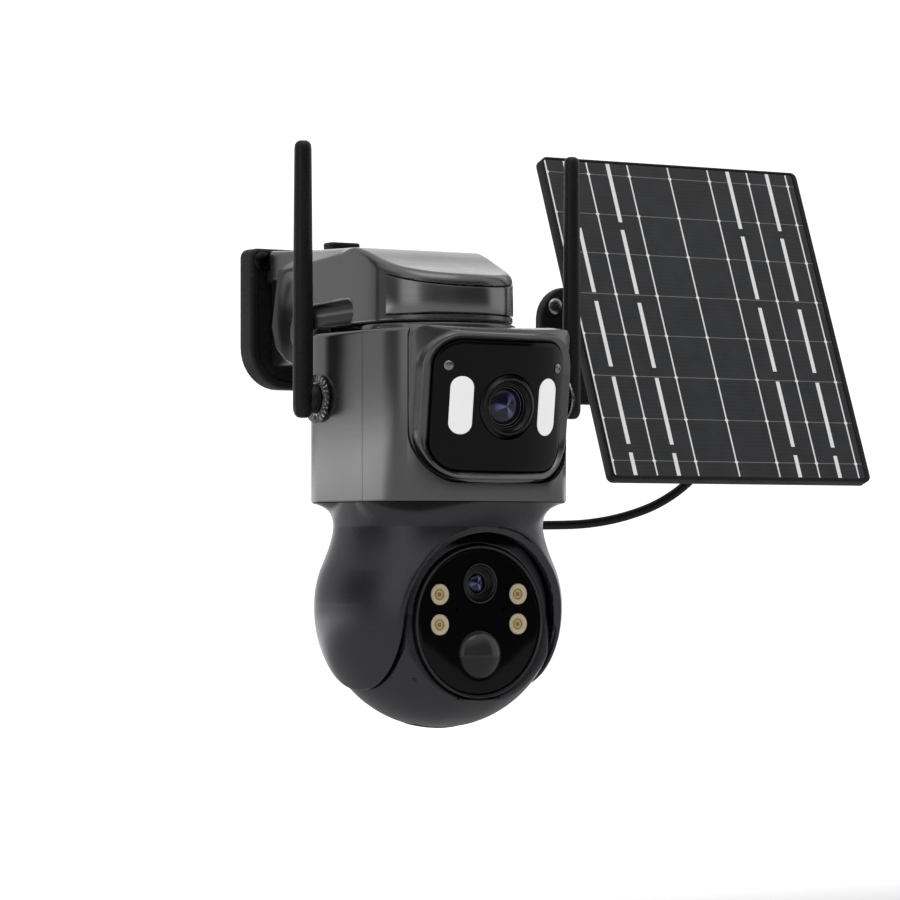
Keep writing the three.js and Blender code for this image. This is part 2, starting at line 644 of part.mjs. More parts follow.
function buildHead() {
  const head = groupAt(0, AXIS_Y, BALL_Z);
  const half = BALL.slot - 0.4;
  const wheel = acrossX(extruded(headSide(), -half, half, 0, 8));
  const faceBack = -FACE.front + 5;
  const collar = rod('y', FACE.rim - FACE.wall - GAP, -60, faceBack, 24).translate(0, 0, -FACE.drop);
  const pocket = rod('y', 24, -60, 12).translate(0, 0, -FACE.drop);
  const bores = rod('x', 5 + GAP, -60, 60, 24);
  const cardSlot = extruded(plate(25.6, 12.6, 6.2), -60, -46.2).translate(0, CARD_Y, 0);
  const seat = rod('y', FACE.rim + GAP, -60, -FACE.front + 2.4, 24).translate(0, 0, -FACE.drop);
  const shell = cut(common(wheel, sphere(BALL.head)), seat, collar, pocket, bores, cardSlot);
  part('head_shell', shell, SLATE, head);

  const face = groupAt(0, -FACE.front, -FACE.drop, head);
  const rim = turned([
    [FACE.rim - FACE.wall, -2], [FACE.rim, -2], [FACE.rim, 0.8], [FACE.rim - 0.5, 1.4],
    [FACE.rim - FACE.wall, 1.0], [FACE.rim - FACE.wall, -2],
  ], 24).rotateX(Math.PI / 2);
  part('head_rim', rim, SLATE, face);

  const lens = { z: 15.6, radius: 8.4 };
  const pir = { z: -13.4, radius: 10 };
  const lamps = [[-19, 11.2], [-19, -1], [19, 11.2], [19, -1]];
  const disc = rod('y', FACE.rim - FACE.wall - GAP, -0.4, 2.6, 24);
  const holes = [
    rod('y', lens.radius + GAP, -9, 9).translate(0, 0, lens.z),
    rod('y', pir.radius + GAP, -9, 9).translate(0, 0, pir.z),
    ...lamps.map(([x, z]) => rod('y', 4.2 + GAP, -9, 9, 12).translate(x, 0, z)),
  ];
  part('head_window', cut(disc, ...holes), GLOSS_BLACK, face);

  const barrel = turned([
    [0, -16], [lens.radius, -16], [lens.radius, 0.9], [lens.radius - 0.9, 0.9], [4, -1.4],
    [4, -5], [0, -5],
  ], 20).rotateX(Math.PI / 2).translate(0, 0, lens.z);
  part('zoom_lens_barrel', barrel, BLACK, face);
  const glass = turned([
    [0, -4.6], [3.7, -4.6], [3.7, -2.2], [2.4, -1.3], [0, -0.9],
  ], 14).rotateX(Math.PI / 2).translate(0, 0, lens.z);
  part('zoom_lens_glass', glass, LENS_GLASS, face);

  lamps.forEach(([x, z], i) => {
    const lamp = turned([
      [0, -5], [4.2, -5], [4.2, 0.2], [3.4, 0.7], [1.8, 0.1], [0, 0.1],
    ], SMALL_ROUND).rotateX(Math.PI / 2).translate(x, 0, z);
    part(`face_lamp_${i + 1}`, lamp, LAMP, face);
  });

  const domeSteps = 4;
  const dome = [[0, -6], [pir.radius, -6]];
  for (let i = 0; i <= domeSteps; i += 1) {
    const angle = (Math.PI / 2) * (i / domeSteps);
    dome.push([i < domeSteps ? pir.radius * Math.cos(angle) : 0, 5.2 * Math.sin(angle)]);
  }
  const sensor = turned(dome, 20).rotateX(Math.PI / 2).translate(0, 0, pir.z);
  part('motion_sensor_dome', sensor, FROSTED, face);

  const sensorBoard = block([-16.5, 18, -16.5], [16.5, 19.6, 7]);
  part('head_circuit_board', sensorBoard, BOARD, face);

  const lid = common(
    extruded(plate(25, 12, 6 - 0.01), -60, -46.6, 0, 3).translate(0, CARD_Y, 0),
    sphere(BALL.head),
  );
  part('card_slot_cover', lid, RUBBER, head);
}

// ---------------------------------------------------------------- solar panel and bracket

function buildPanelBracket() {
  const base = groupAt(PANEL.x, 0, 0);
  const baseMiddle = (PANEL_BASE.top + PANEL_BASE.bottom) / 2;
  const outline = roundedOutline(
    -PANEL_BASE.half, PANEL_BASE.half, PANEL_BASE.bottom, PANEL_BASE.top, PANEL_BASE.corner,
  );
  const screws = [];
  [-1, 1].forEach((side) => [-1, 1].forEach((level) => {
    screws.push([side * PANEL_SCREW.x, baseMiddle + level * PANEL_SCREW.spread]);
  }));
  const holes = screws.map(([x, z]) => rod('y', 2.4, -10, 5, SMALL_ROUND).translate(x, 0, z));
  const foot = cut(facingFront(extruded(outline, 0, PANEL_BASE.thick, 1)), ...holes);
  const stem = block([-7, SWIVEL_Y, TILT.z - 9], [7, -3, TILT.z + 9]);
  const flare = new THREE.CylinderGeometry(14, 9, 12, 20)
    .translate(0, -PANEL_BASE.thick - 5, TILT.z);
  const lobe = rod('z', 8, TILT.z - 9, TILT.z + 9, 20).translate(0, SWIVEL_Y, 0);
  const fork = block(
    [-20, SWIVEL_Y - 20, TILT.z - EYE.half - GAP],
    [20, SWIVEL_Y + EYE.radius + 0.6, TILT.z + EYE.half + GAP],
  );
  const bore = rod('z', 3 + GAP, -40, 40, SMALL_ROUND).translate(0, SWIVEL_Y, 0);
  part('panel_wall_base', cut(join(foot, flare, stem, lobe), fork, bore), BLACK, base);
  screws.forEach(([x, z], i) => {
    const body = screw(3.8, 2.2, 1.9, PANEL_BASE.thick - GAP);
    const fastener = part(`panel_base_screw_${i + 1}`, body, STEEL, base);
    fastener.position.set(x, -PANEL_BASE.thick - GAP, z);
    fastener.rotation.x = Math.PI / 2;
  });

  const [low, high] = [TILT.z - EYE.half, TILT.z + EYE.half];
  const eye = rod('z', EYE.radius, low, high, 20).translate(0, SWIVEL_Y, 0);
  const neck = block([-5, TILT.y, low], [5, SWIVEL_Y, high]);
  const barrel = rod('x', 6, -6.5, 6.5, 20).translate(0, TILT.y, TILT.z);
  const trunnion = rod('x', 3, -15, 15, SMALL_ROUND).translate(0, TILT.y, TILT.z);
  const kingpin = rod('z', 3, TILT.z - 10, TILT.z + 10, SMALL_ROUND).translate(0, SWIVEL_Y, 0);
  const clip = cut(
    block([-4, -3.2, -3.2], [4, 3.2, 5.5]), rod('x', CABLE_RADIUS + GAP, -9, 9, 16),
  ).translate(0, CLIP.y, CLIP.z);
  part('panel_knuckle', join(eye, neck, barrel, trunnion, kingpin, clip), BLACK, base);
}

function buildPanel() {
  const panel = groupAt(PANEL.x, PANEL.y, PANEL.z);
  panel.rotation.x = -rad(PANEL.lean);
  const half = PANEL.thick / 2;
  const outline = (inset) => (
    plate(PANEL.width - 2 * inset, PANEL.height - 2 * inset, PANEL.corner - inset)
  );
  const body = facingFront(extruded(outline(0), -half, half, 0.8));
  const recess = facingFront(extruded(outline(1.5), half - 1.4, 9));
  part('panel_tray', cut(body, recess), BLACK, panel);
  const sheet = extruded(outline(1.5 + GAP), half - 1.1, half - 0.1);
  part('panel_cells', facingFront(sheet), CELLS, panel);

  // the pin's place in the panel's own frame
  const pin = new THREE.Vector3(0, TILT.y - PANEL.y, TILT.z - PANEL.z)
    .applyAxisAngle(new THREE.Vector3(1, 0, 0), rad(PANEL.lean));
  const backplate = facingFront(extruded(plate(36, 34, 4), -half - 3 - GAP, -half - GAP, 0, 2));
  let bracket = backplate.translate(0, 0, pin.z);
  [-1, 1].forEach((side) => {
    const lug = roundedOutline(half + GAP, pin.y + 7, pin.z - 7, pin.z + 7, 6.9);
    const [near, far] = side < 0 ? [-10.5, -7] : [7, 10.5];
    bracket = join(bracket, acrossX(extruded(lug, near, far, 0, 3)));
    const root = block([near, half + GAP, pin.z - 7], [far, pin.y, pin.z + 7]);
    bracket = join(bracket, root);
  });
  const eyes = rod('x', 3 + GAP, -20, 20, SMALL_ROUND).translate(0, pin.y, pin.z);
  part('panel_bracket', cut(bracket, eyes), BLACK, panel);

  const box = facingFront(extruded(plate(34, 24, 3), -half - 9 - GAP, -half - GAP, 1));
  const nozzle = rod('x', 2.6, -26, -16, 16).translate(0, half + GAP + 5, 0);
  part('junction_box', join(box, nozzle).translate(0, 0, JUNCTION_Z), BLACK, panel);
}

// ---------------------------------------------------------------- panel cable

function cable(points, steps) {
  const section = new THREE.Shape();
  section.absarc(0, 0, CABLE_RADIUS, 0, 2 * Math.PI);
  const path = new THREE.CatmullRomCurve3(points.map((p) => new THREE.Vector3(...p)));
  return new THREE.ExtrudeGeometry(section, {
    steps, extrudePath: path, bevelEnabled: false, curveSegments: 4,
  });
}

// from the gland under the pivot block, behind the ball, to the clip on the swivel
const LONG_RUN = [
  [8, -27, -37.1],
  [8, -27, -44],
  [9, -25.5, -54],
  [14, -23, -65],
  [24, -21, -75],
  [38, -20, -82],
  [55, -21, -86],
  [75, -24, -88],
  [95, -28, -89],
  [112, -33, -89.2],
  [129, -38.5, -88.4],
  [144, -44, -85.4],
  [157.5, -50, -80],
  [168.5, -55.5, -72],
  [176.5, -61, -61.5],
  [181, -65.5, -49.5],
  [182, -69.5, -37],
  [179.5, -72.5, -25],
  [174, -74.3, -15.5],
  [166.5, -74.9, -10.6],
  [158.8, -75, -9.5],
];

// from the clip to the junction box on the panel's back
const SHORT_RUN = [
  [150.2, -75, -9.5],
  [144, -75, -9.5],
  [137, -75.2, -9.5],
  [130, -75.6, -9.6],
  [123.5, -76.4, -10.2],
  [118.5, -77.5, -11.9],
  [114.8, -79, -14.4],
  [112, -81, -17.4],
  [110.4, -83.4, -20.8],
  [109.9, -86, -24.6],
  [110.5, -88.6, -28.4],
  [112.4, -91, -32],
  [115.2, -93.1, -35.2],
  [119, -94.8, -37.7],
  [123.4, -95.8, -39.1],
  [128.2, -95.9, -39.3],
];

buildWallBracket();
buildArm();
buildHousing();
buildFrontWindow();
buildAntenna('left', -1);
buildAntenna('right', 1);
buildYoke();
buildHead();
buildPanelBracket();
buildPanel();
part('cable_long_run', cable(LONG_RUN, 44), RUBBER);
part('cable_short_run', cable(SHORT_RUN, 20), RUBBER);

export default camera;
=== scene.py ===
"""The looks of a solar-powered security camera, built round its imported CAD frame.

Shapes are worked out in millimetres and become metres when their mesh is made.
+X is the object's width, -Y its lens side, +Z up, and the wall is the plane Y = 0.
"""

import math

import bmesh
import bpy
import numpy as np
from mathutils import Matrix, Vector


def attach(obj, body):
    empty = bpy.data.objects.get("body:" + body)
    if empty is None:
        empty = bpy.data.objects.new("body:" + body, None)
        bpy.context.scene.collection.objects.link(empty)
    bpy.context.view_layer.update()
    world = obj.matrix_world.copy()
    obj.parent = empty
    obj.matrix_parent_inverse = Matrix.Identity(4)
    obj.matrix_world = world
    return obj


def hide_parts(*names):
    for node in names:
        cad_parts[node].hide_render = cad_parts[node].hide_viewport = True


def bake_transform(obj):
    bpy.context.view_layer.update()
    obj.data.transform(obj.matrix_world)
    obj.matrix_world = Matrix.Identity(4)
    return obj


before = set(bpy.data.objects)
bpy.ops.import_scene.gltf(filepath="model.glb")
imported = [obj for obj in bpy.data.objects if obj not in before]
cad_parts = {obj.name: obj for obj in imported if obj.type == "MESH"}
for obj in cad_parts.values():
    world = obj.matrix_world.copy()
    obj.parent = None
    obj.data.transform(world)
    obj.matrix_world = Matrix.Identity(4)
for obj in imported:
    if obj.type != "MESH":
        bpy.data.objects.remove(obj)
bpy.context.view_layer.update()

MM = 0.001
SCENE = bpy.context.scene

# ------------------------------------------------------------ places in the frame, in mm

AXIS_Y = -114.0  # upright axis of hub, housing and ball
BALL_Z = -124.5
PIVOT_Y, PIVOT_Z = -51.0, -8.4
ANTENNA_X, ANTENNA_AHEAD, ANTENNA_Z = 50.8, 23.3, -38.3
WINDOW_Y, WINDOW_Z, WINDOW_LEAN, WINDOW_BEND = -166.3, -43.1, 6.5, 62.0
PANEL_X, PANEL_Y, PANEL_Z, PANEL_LEAN = 154.5, -90.0, -0.9, 21.1
SWIVEL_Y, TILT_Y, TILT_Z = -61.0, -74.0, 1.0

# ------------------------------------------------------------ camera

VIEW_YAW = math.radians(-33.0)
VIEW_RANGE = 1.646

lens = bpy.data.cameras.new("view")
lens.lens = 160.0
lens.sensor_width = 36.0
lens.shift_x = 12 / 900
lens.shift_y = 104 / 900
lens.clip_end = 20.0
view = bpy.data.objects.new("view", lens)
SCENE.collection.objects.link(view)
view.location = (
    VIEW_RANGE * math.sin(VIEW_YAW),
    AXIS_Y * MM - VIEW_RANGE * math.cos(VIEW_YAW),
    -0.102,
)
view.rotation_euler = (math.pi / 2, 0, VIEW_YAW)
SCENE.camera = view

# ------------------------------------------------------------ meshes


def new_piece(name, points, faces, sharp=32.0, normals=None):
    """A mesh object from points in mm. Edges bent by more than sharp degrees stay crisp."""
    mesh = bpy.data.meshes.new(name)
    mesh.from_pydata((np.asarray(points, float) * MM).tolist(), [], faces)
    mesh.update()
    obj = bpy.data.objects.new(name, mesh)
    SCENE.collection.objects.link(obj)
    shade(obj, sharp)
    if normals is not None:
        mesh.normals_split_custom_set_from_vertices(normals)
    return obj


def shade(obj, sharp=32.0):
    obj.data.shade_smooth()
    obj.data.set_sharp_from_angle(angle=math.radians(sharp))


def moved(obj, matrix):
    obj.data.transform(matrix)
    obj.data.update()
    return obj


def at(x, y, z):
    return Matrix.Translation(Vector((x, y, z)) * MM)


def turn(degrees, axis):
    return Matrix.Rotation(math.radians(degrees), 4, axis)


def joined(name, objects):
    """One object from several closed shells."""
    whole = bmesh.new()
    for obj in objects:
        whole.from_mesh(obj.data)
    mesh = bpy.data.meshes.new(name)
    whole.to_mesh(mesh)
    whole.free()
    for obj in objects:
        bpy.data.objects.remove(obj)
    result = bpy.data.objects.new(name, mesh)
    SCENE.collection.objects.link(result)
    return result


def apply_modifiers(obj):
    graph = bpy.context.evaluated_depsgraph_get()
    mesh = bpy.data.meshes.new_from_object(obj.evaluated_get(graph))
    obj.modifiers.clear()
    obj.data = mesh
    return obj


def boolean(obj, tool, operation="DIFFERENCE"):
    step = obj.modifiers.new("cut", "BOOLEAN")
    step.object = tool
    step.operation = operation
    step.solver = "EXACT"
    apply_modifiers(obj)
    bpy.data.objects.remove(tool)
    return obj


def bands(count, rings, closed):
    """Quads between neighbouring rings of count points, and back to the first ring if closed."""
    faces = []
    for level in range(rings if closed else rings - 1):
        a, b = level * count, ((level + 1) % rings) * count
        for i in range(count):
            j = (i + 1) % count
            faces.append((a + i, a + j, b + j, b + i))
    return faces


def stack(name, rings, closed_ends=True, sharp=32.0, loop=False):
    """Skins a list of rings, each the same number of points, with a flat cap at each end."""
    rings = [np.asarray(r, float) for r in rings]
    count = len(rings[0])
    points = np.concatenate(rings)
    faces = bands(count, len(rings), loop)
    if closed_ends and not loop:
        faces.append(tuple(reversed(range(count))))
        last = (len(rings) - 1) * count
        faces.append(tuple(range(last, last + count)))
    return fix_normals(new_piece(name, points, faces, sharp))


def fix_normals(obj):
    edit = bmesh.new()
    edit.from_mesh(obj.data)
    bmesh.ops.recalc_face_normals(edit, faces=edit.faces)
    if edit.calc_volume(signed=True) < 0:
        bmesh.ops.reverse_faces(edit, faces=edit.faces)
    edit.to_mesh(obj.data)
    edit.free()
    obj.data.update()
    return obj


def lathe(name, profile, around="z", segments=72, sharp=32.0):
    """Turns (radius, height) points round an axis; the profile starts and ends on the axis,
    or is a closed ring that doesn't touch it."""
    on_axis = profile[0][0] < 1e-6
    turns = [(math.cos(t), math.sin(t)) for t in np.linspace(0, 2 * math.pi, segments, False)]
    inner = profile[1:-1] if on_axis else profile
    rings = [[(r * c, r * s, h) for c, s in turns] for r, h in inner]
    points = np.concatenate(rings)
    faces = bands(segments, len(rings), not on_axis)
    if on_axis:
        points = np.concatenate([points, [(0, 0, profile[0][1]), (0, 0, profile[-1][1])]])
        first, last = len(points) - 2, len(points) - 1
        top = (len(rings) - 1) * segments
        for i in range(segments):
            j = (i + 1) % segments
            faces.append((first, j, i))
            faces.append((last, top + i, top + j))
    if around == "x":
        points = points[:, [2, 0, 1]]
    if around == "y":
        points = points[:, [1, 2, 0]]
    return fix_normals(new_piece(name, points, faces, sharp))


def rounded(left, right, bottom, top, radii, inset=0.0, corner=8, side=1):
    """Outline of a rectangle with corner radii (top right, top left, bottom left, bottom right)."""
    left, right, bottom, top = left + inset, right - inset, bottom + inset, top - inset
    radii = [max(r - inset, 0.05) for r in radii]
    centres = [
        (right - radii[0], top - radii[0]),
        (left + radii[1], top - radii[1]),
        (left + radii[2], bottom + radii[2]),
        (right - radii[3], bottom + radii[3]),
    ]
    arcs = []
    for k, ((u, v), r) in enumerate(zip(centres, radii, strict=True)):
        angles = np.linspace(k * math.pi / 2, (k + 1) * math.pi / 2, corner + 1)
        arcs.append([(u + r * math.cos(t), v + r * math.sin(t)) for t in angles])
    points = []
    for k in range(4):
        points += arcs[k]
        (u0, v0), (u1, v1) = arcs[k][-1], arcs[(k + 1) % 4][0]
        for i in range(1, side):
            share = i / side
            points.append((u0 + (u1 - u0) * share, v0 + (v1 - v0) * share))
    return np.array(points)


def square(half_u, half_v, radius, inset=0.0, corner=8, side=1):
    return rounded(-half_u, half_u, -half_v, half_v, [radius] * 4, inset, corner, side)


def facing(outline, depth):
    """Outline in X and Z at a depth along Y, where a positive depth is towards the front."""
    return np.c_[outline[:, 0], np.full(len(outline), -depth), outline[:, 1]]


def level(outline, height):
    return np.c_[outline[:, 0], outline[:, 1], np.full(len(outline), height)]


def rounded_edge(radius, steps=4):
    """(inset, drop) pairs round an edge, from the flat face to the side wall."""
    angles = np.linspace(math.pi / 2, 0, steps + 1)
    return [(radius * (1 - math.cos(t)), radius * (1 - math.sin(t))) for t in angles]


# ------------------------------------------------------------ skins of blended solids


def union(a, b, r=0.0):
    if np.all(r == 0):
        return np.minimum(a, b)
    bend = np.hypot(np.maximum(r - a, 0), np.maximum(r - b, 0))
    return np.maximum(r, np.minimum(a, b)) - bend


def meet(a, b, r=0.0):
    return -union(-a, -b, r)


def less(a, b, r=0.0):
    return meet(a, -b, r)


def outline_distance(u, v, points):
    """Signed distance to a closed polygon, negative inside."""
    u, v = np.broadcast_arrays(u, v)
    nearest = np.full(u.shape, 1e9)
    inside = np.zeros(u.shape, bool)
    for (u0, v0), (u1, v1) in zip(points, points[1:] + points[:1], strict=True):
        du, dv = u1 - u0, v1 - v0
        share = np.clip(((u - u0) * du + (v - v0) * dv) / (du * du + dv * dv), 0, 1)
        nearest = np.minimum(nearest, np.hypot(u - u0 - share * du, v - v0 - share * dv))
        crosses = (v0 > v) != (v1 > v)
        reach = (v - v0) * du / (dv if abs(dv) > 1e-12 else 1e-12) + u0
        inside ^= crosses & (u < reach)
    return np.where(inside, -nearest, nearest)


def box_distance(x, y, z, low, high, r=0.0):
    parts = []
    for value, a, b in zip((x, y, z), low, high, strict=True):
        parts.append(np.abs(value - (a + b) / 2) - (b - a) / 2 + r)
    outside = np.sqrt(sum(np.maximum(p, 0) ** 2 for p in parts))
    return outside + np.minimum(np.maximum(np.maximum(parts[0], parts[1]), parts[2]), 0) - r


def gradient(field, points, step=0.02):
    columns = []
    for axis in range(3):
        shift = np.zeros(3)
        shift[axis] = step
        ahead, behind = points + shift, points - shift
        columns.append((field(*ahead.T) - field(*behind.T)) / (2 * step))
    return np.stack(columns, 1)


def skin(name, field, low, high, step):
    """The closed surface where field(x, y, z) is zero, with the field's own normals."""
    axes = [np.arange(a, b + step, step) for a, b in zip(low, high, strict=True)]
    shape = tuple(len(a) for a in axes)
    grid = np.meshgrid(*axes, indexing="ij", sparse=True)
    values = np.array(np.broadcast_to(field(*grid), shape))
    values[np.abs(values) < 1e-6] = 1e-6
    inside = values < 0
    cells = tuple(n - 1 for n in shape)
    total = np.zeros((*cells, 3))
    hits = np.zeros(cells)
    quads = []
    for axis in range(3):
        first = [slice(None)] * 3
        second = [slice(None)] * 3
        first[axis], second[axis] = slice(0, -1), slice(1, None)
        v0, v1 = values[tuple(first)], values[tuple(second)]
        crossing = inside[tuple(first)] != inside[tuple(second)]
        share = np.where(crossing, v0 / np.where(crossing, v0 - v1, 1), 0)
        place = np.stack(np.broadcast_arrays(*[
            g[tuple(first)] if k == axis else g for k, g in enumerate(grid)
        ]), -1).astype(float)
        place[..., axis] += share * step
        b, c = (axis + 1) % 3, (axis + 2) % 3
        for db in (0, 1):
            for dc in (0, 1):
                window = [slice(None)] * 3
                window[b] = slice(db, shape[b] - 1 + db)
                window[c] = slice(dc, shape[c] - 1 + dc)
                hit = crossing[tuple(window)]
                total += place[tuple(window)] * hit[..., None]
                hits += hit
        at_edge = np.argwhere(crossing)
        keep = np.ones(len(at_edge), bool)
        for k in (b, c):
            keep &= (at_edge[:, k] > 0) & (at_edge[:, k] < shape[k] - 1)
        at_edge = at_edge[keep]
        outward = inside[tuple(at_edge.T)]
        corners = []
        for db, dc in ((-1, -1), (0, -1), (0, 0), (-1, 0)):
            cell = at_edge.copy()
            cell[:, b] += db
            cell[:, c] += dc
            corners.append(cell)
        quads.append((np.stack(corners, 1), outward))
    active = hits > 0
    number = np.full(cells, -1)
    number[active] = np.arange(active.sum())
    points = total[active] / hits[active][:, None]
    for _ in range(3):
        slope = gradient(field, points)
        length = np.maximum((slope**2).sum(1), 0.05)
        push = -(field(*points.T) / length)[:, None] * slope
        size = np.linalg.norm(push, axis=1, keepdims=True)
        points = points + push * np.minimum(1, 0.6 * step / np.maximum(size, 1e-9))
    faces = []
    for corners, outward in quads:
        ids = number[tuple(np.moveaxis(corners, -1, 0))]
        ids[~outward] = ids[~outward][:, ::-1]
        faces.append(ids)
    slope = gradient(field, points)
    normals = slope / np.maximum(np.linalg.norm(slope, axis=1, keepdims=True), 1e-9)
    return new_piece(name, points, np.concatenate(faces).tolist(), 180, normals)


# ------------------------------------------------------------ materials


class Paint:
    """Builds one node material step by step."""

    def __init__(self, name):
        self.material = bpy.data.materials.new(name)
        self.material.use_nodes = True
        self.tree = self.material.node_tree
        self.shader = self.tree.nodes["Principled BSDF"]
        self.place = self.node("ShaderNodeTexCoord").outputs["Object"]

    def node(self, kind, **settings):
        made = self.tree.nodes.new(kind)
        for key, value in settings.items():
            setattr(made, key, value)
        return made

    def link(self, source, target):
        self.tree.links.new(source, target)

    def noise(self, scale, detail=3.0, stretch=None):
        source = self.place
        if stretch:
            mapping = self.node("ShaderNodeMapping")
            mapping.inputs["Scale"].default_value = stretch
            self.link(self.place, mapping.inputs["Vector"])
            source = mapping.outputs["Vector"]
        made = self.node("ShaderNodeTexNoise")
        made.inputs["Scale"].default_value = scale
        made.inputs["Detail"].default_value = detail
        self.link(source, made.inputs["Vector"])
        return made.outputs["Fac"]

    def ramp(self, value, low, high):
        """value squeezed so that low becomes 0 and high becomes 1."""
        made = self.node("ShaderNodeMapRange")
        made.inputs["From Min"].default_value = low
        made.inputs["From Max"].default_value = high
        self.link(value, made.inputs["Value"])
        return made.outputs["Result"]

    def scaled(self, value, low, high):
        made = self.node("ShaderNodeMapRange")
        made.inputs["From Min"].default_value = 0.25
        made.inputs["From Max"].default_value = 0.75
        made.inputs["To Min"].default_value = low
        made.inputs["To Max"].default_value = high
        self.link(value, made.inputs["Value"])
        return made.outputs["Result"]

    def mix(self, share, first, second):
        made = self.node("ShaderNodeMix", data_type="RGBA")
        for socket, value in ((0, share), (6, first), (7, second)):
            if isinstance(value, (tuple, float)):
                made.inputs[socket].default_value = value
            else:
                self.link(value, made.inputs[socket])
        return made.outputs[2]

    def bump(self, height, strength, distance):
        made = self.node("ShaderNodeBump")
        made.inputs["Strength"].default_value = strength
        made.inputs["Distance"].default_value = distance
        self.link(height, made.inputs["Height"])
        self.link(made.outputs["Normal"], self.shader.inputs["Normal"])

    def put(self, **values):
        for key, value in values.items():
            socket = self.shader.inputs[key.replace("_", " ")]
            if isinstance(value, (int, float, tuple)):
                socket.default_value = value
            else:
                self.link(value, socket)


def shell_paint(name, colour, patch, fleck, rough, metal, grain=1800.0, bump=0.2, edge_lift=0.25):
    """Moulded or sprayed shell: broad tone patches, fine flecks, paler sharp convex edges."""
    paint = Paint(name)
    broad = paint.scaled(paint.noise(22.0, 2.0), 0.0, 1.0)
    fine = paint.noise(grain, 2.0)
    tone = paint.mix(broad, colour, patch)
    tone = paint.mix(paint.ramp(fine, 0.52, 0.8), tone, fleck)
    # paler on sharp convex edges, read from the mesh's pointiness
    edge = paint.ramp(paint.node("ShaderNodeNewGeometry").outputs["Pointiness"], 0.52, 0.62)
    edge_paling = paint.node("ShaderNodeMath", operation="MULTIPLY")
    paint.link(edge, edge_paling.inputs[0])
    edge_paling.inputs[1].default_value = edge_lift
    tone = paint.mix(edge_paling.outputs[0], tone, fleck)
    smear = paint.noise(60.0, 4.0)
    paint.put(Base_Color=tone, Metallic=metal, Roughness=paint.scaled(smear, *rough))
    paint.bump(fine, bump, 0.0002)
    return paint


def grey(value, blue=1.0):
    return (value, value, value * blue, 1.0)


GUNMETAL = (grey(0.250, 1.03), grey(0.235, 1.0), grey(0.30, 1.02), (0.21, 0.27), 0.92, 2600.0, 0.1)
gunmetal = shell_paint("sprayed_gunmetal", *GUNMETAL)


def arm_paint_with_painted_shade():
    """The arm's coat, with painted shade: darker in the hollow round the hinge cap and in the scoops, where
    shade falls.
    """
    paint = shell_paint("sprayed_gunmetal_arm_painted_shade", *GUNMETAL)
    split = paint.node("ShaderNodeSeparateXYZ")
    paint.link(paint.place, split.inputs[0])
    side = paint.node("ShaderNodeMath", operation="ABSOLUTE")
    paint.link(split.outputs["X"], side.inputs[0])
    behind_bay = paint.ramp(split.outputs["Y"], -0.0475, -0.044)
    on_cheek = paint.ramp(side.outputs[0], 0.0225, 0.0235)
    behind_scoop = paint.ramp(split.outputs["Y"], -0.0975, -0.0955)
    below_scoop = paint.ramp(split.outputs["Z"], 0.0032, 0.0016)
    painted_shade_masks = []
    for first, second in ((behind_bay, on_cheek), (behind_scoop, below_scoop)):
        both = paint.node("ShaderNodeMath", operation="MULTIPLY")
        paint.link(first, both.inputs[0])
        paint.link(second, both.inputs[1])
        painted_shade_masks.append(both.outputs[0])
    painted_shade_mask = paint.node("ShaderNodeMath", operation="MAXIMUM")
    for mask, socket in zip(painted_shade_masks, painted_shade_mask.inputs, strict=False):
        paint.link(mask, socket)
    coat = paint.shader.inputs["Base Color"].links[0].from_socket
    # painted shade: the coat turns near-black in the hinge hollow and in the scoops
    paint.put(Base_Color=paint.mix(painted_shade_mask.outputs[0], coat, grey(0.075, 1.03)))
    return paint


# the arm's paint, with painted shade in its hollows
arm_coat_with_painted_shade = arm_paint_with_painted_shade()
slate = shell_paint(
    "slate_ball", grey(0.110, 1.12), grey(0.100, 1.1), grey(0.14, 1.08), (0.26, 0.33), 0.85,
    2600.0, 0.12, 0.08,
)
black = shell_paint(
    "moulded_black", grey(0.014, 1.08), grey(0.010, 1.0), grey(0.03, 1.05), (0.34, 0.46), 0.0,
    1400.0, 0.1,
)
plate_black = shell_paint(
    "textured_black", grey(0.012, 1.1), grey(0.016, 1.0), grey(0.045, 1.0), (0.46, 0.6), 0.0,
    900.0, 0.35,
)
rubber = shell_paint(
    "cable_rubber", grey(0.008, 1.1), grey(0.012, 1.0), grey(0.024, 1.0), (0.4, 0.54), 0.0,
    2200.0, 0.15,
)
lens_black = shell_paint(
    "lens_barrel_black", grey(0.004), grey(0.007), grey(0.012), (0.2, 0.3), 0.0, 2600.0, 0.05
)


def brushed_metal():
    """Trim metal with fine lines that run round the hub."""
    paint = Paint("brushed_trim")
    lines = paint.noise(70.0, 5.0, (1.0, 1.0, 60.0))
    tone = paint.mix(paint.ramp(lines, 0.3, 0.7), (0.36, 0.352, 0.35, 1), (0.43, 0.42, 0.418, 1))
    smear = paint.noise(45.0, 3.0)
    paint.put(Base_Color=tone, Metallic=1.0, Roughness=paint.scaled(smear, 0.16, 0.24))
    paint.bump(lines, 0.03, 0.0001)
    return paint


def plated_steel(name="plated_steel", tone=0.58):
    paint = Paint(name)
    smear = paint.noise(900.0, 3.0)
    shade_of = paint.mix(paint.ramp(smear, 0.35, 0.7), grey(tone), grey(tone * 0.75))
    paint.put(Base_Color=shade_of, Metallic=1.0, Roughness=paint.scaled(smear, 0.18, 0.34))
    paint.bump(paint.noise(2400.0, 2.0), 0.1, 0.0001)
    return paint


def gloss_black():
    """Polished acrylic with faint wipe marks."""
    paint = Paint("gloss_acrylic")
    wipes = paint.noise(35.0, 4.0, (1.0, 1.0, 0.35))
    tone = paint.mix(paint.ramp(wipes, 0.4, 0.7), grey(0.0015), grey(0.003, 1.1))
    paint.put(
        Base_Color=tone, Roughness=paint.scaled(wipes, 0.04, 0.08), Specular_IOR_Level=0.35
    )
    return paint


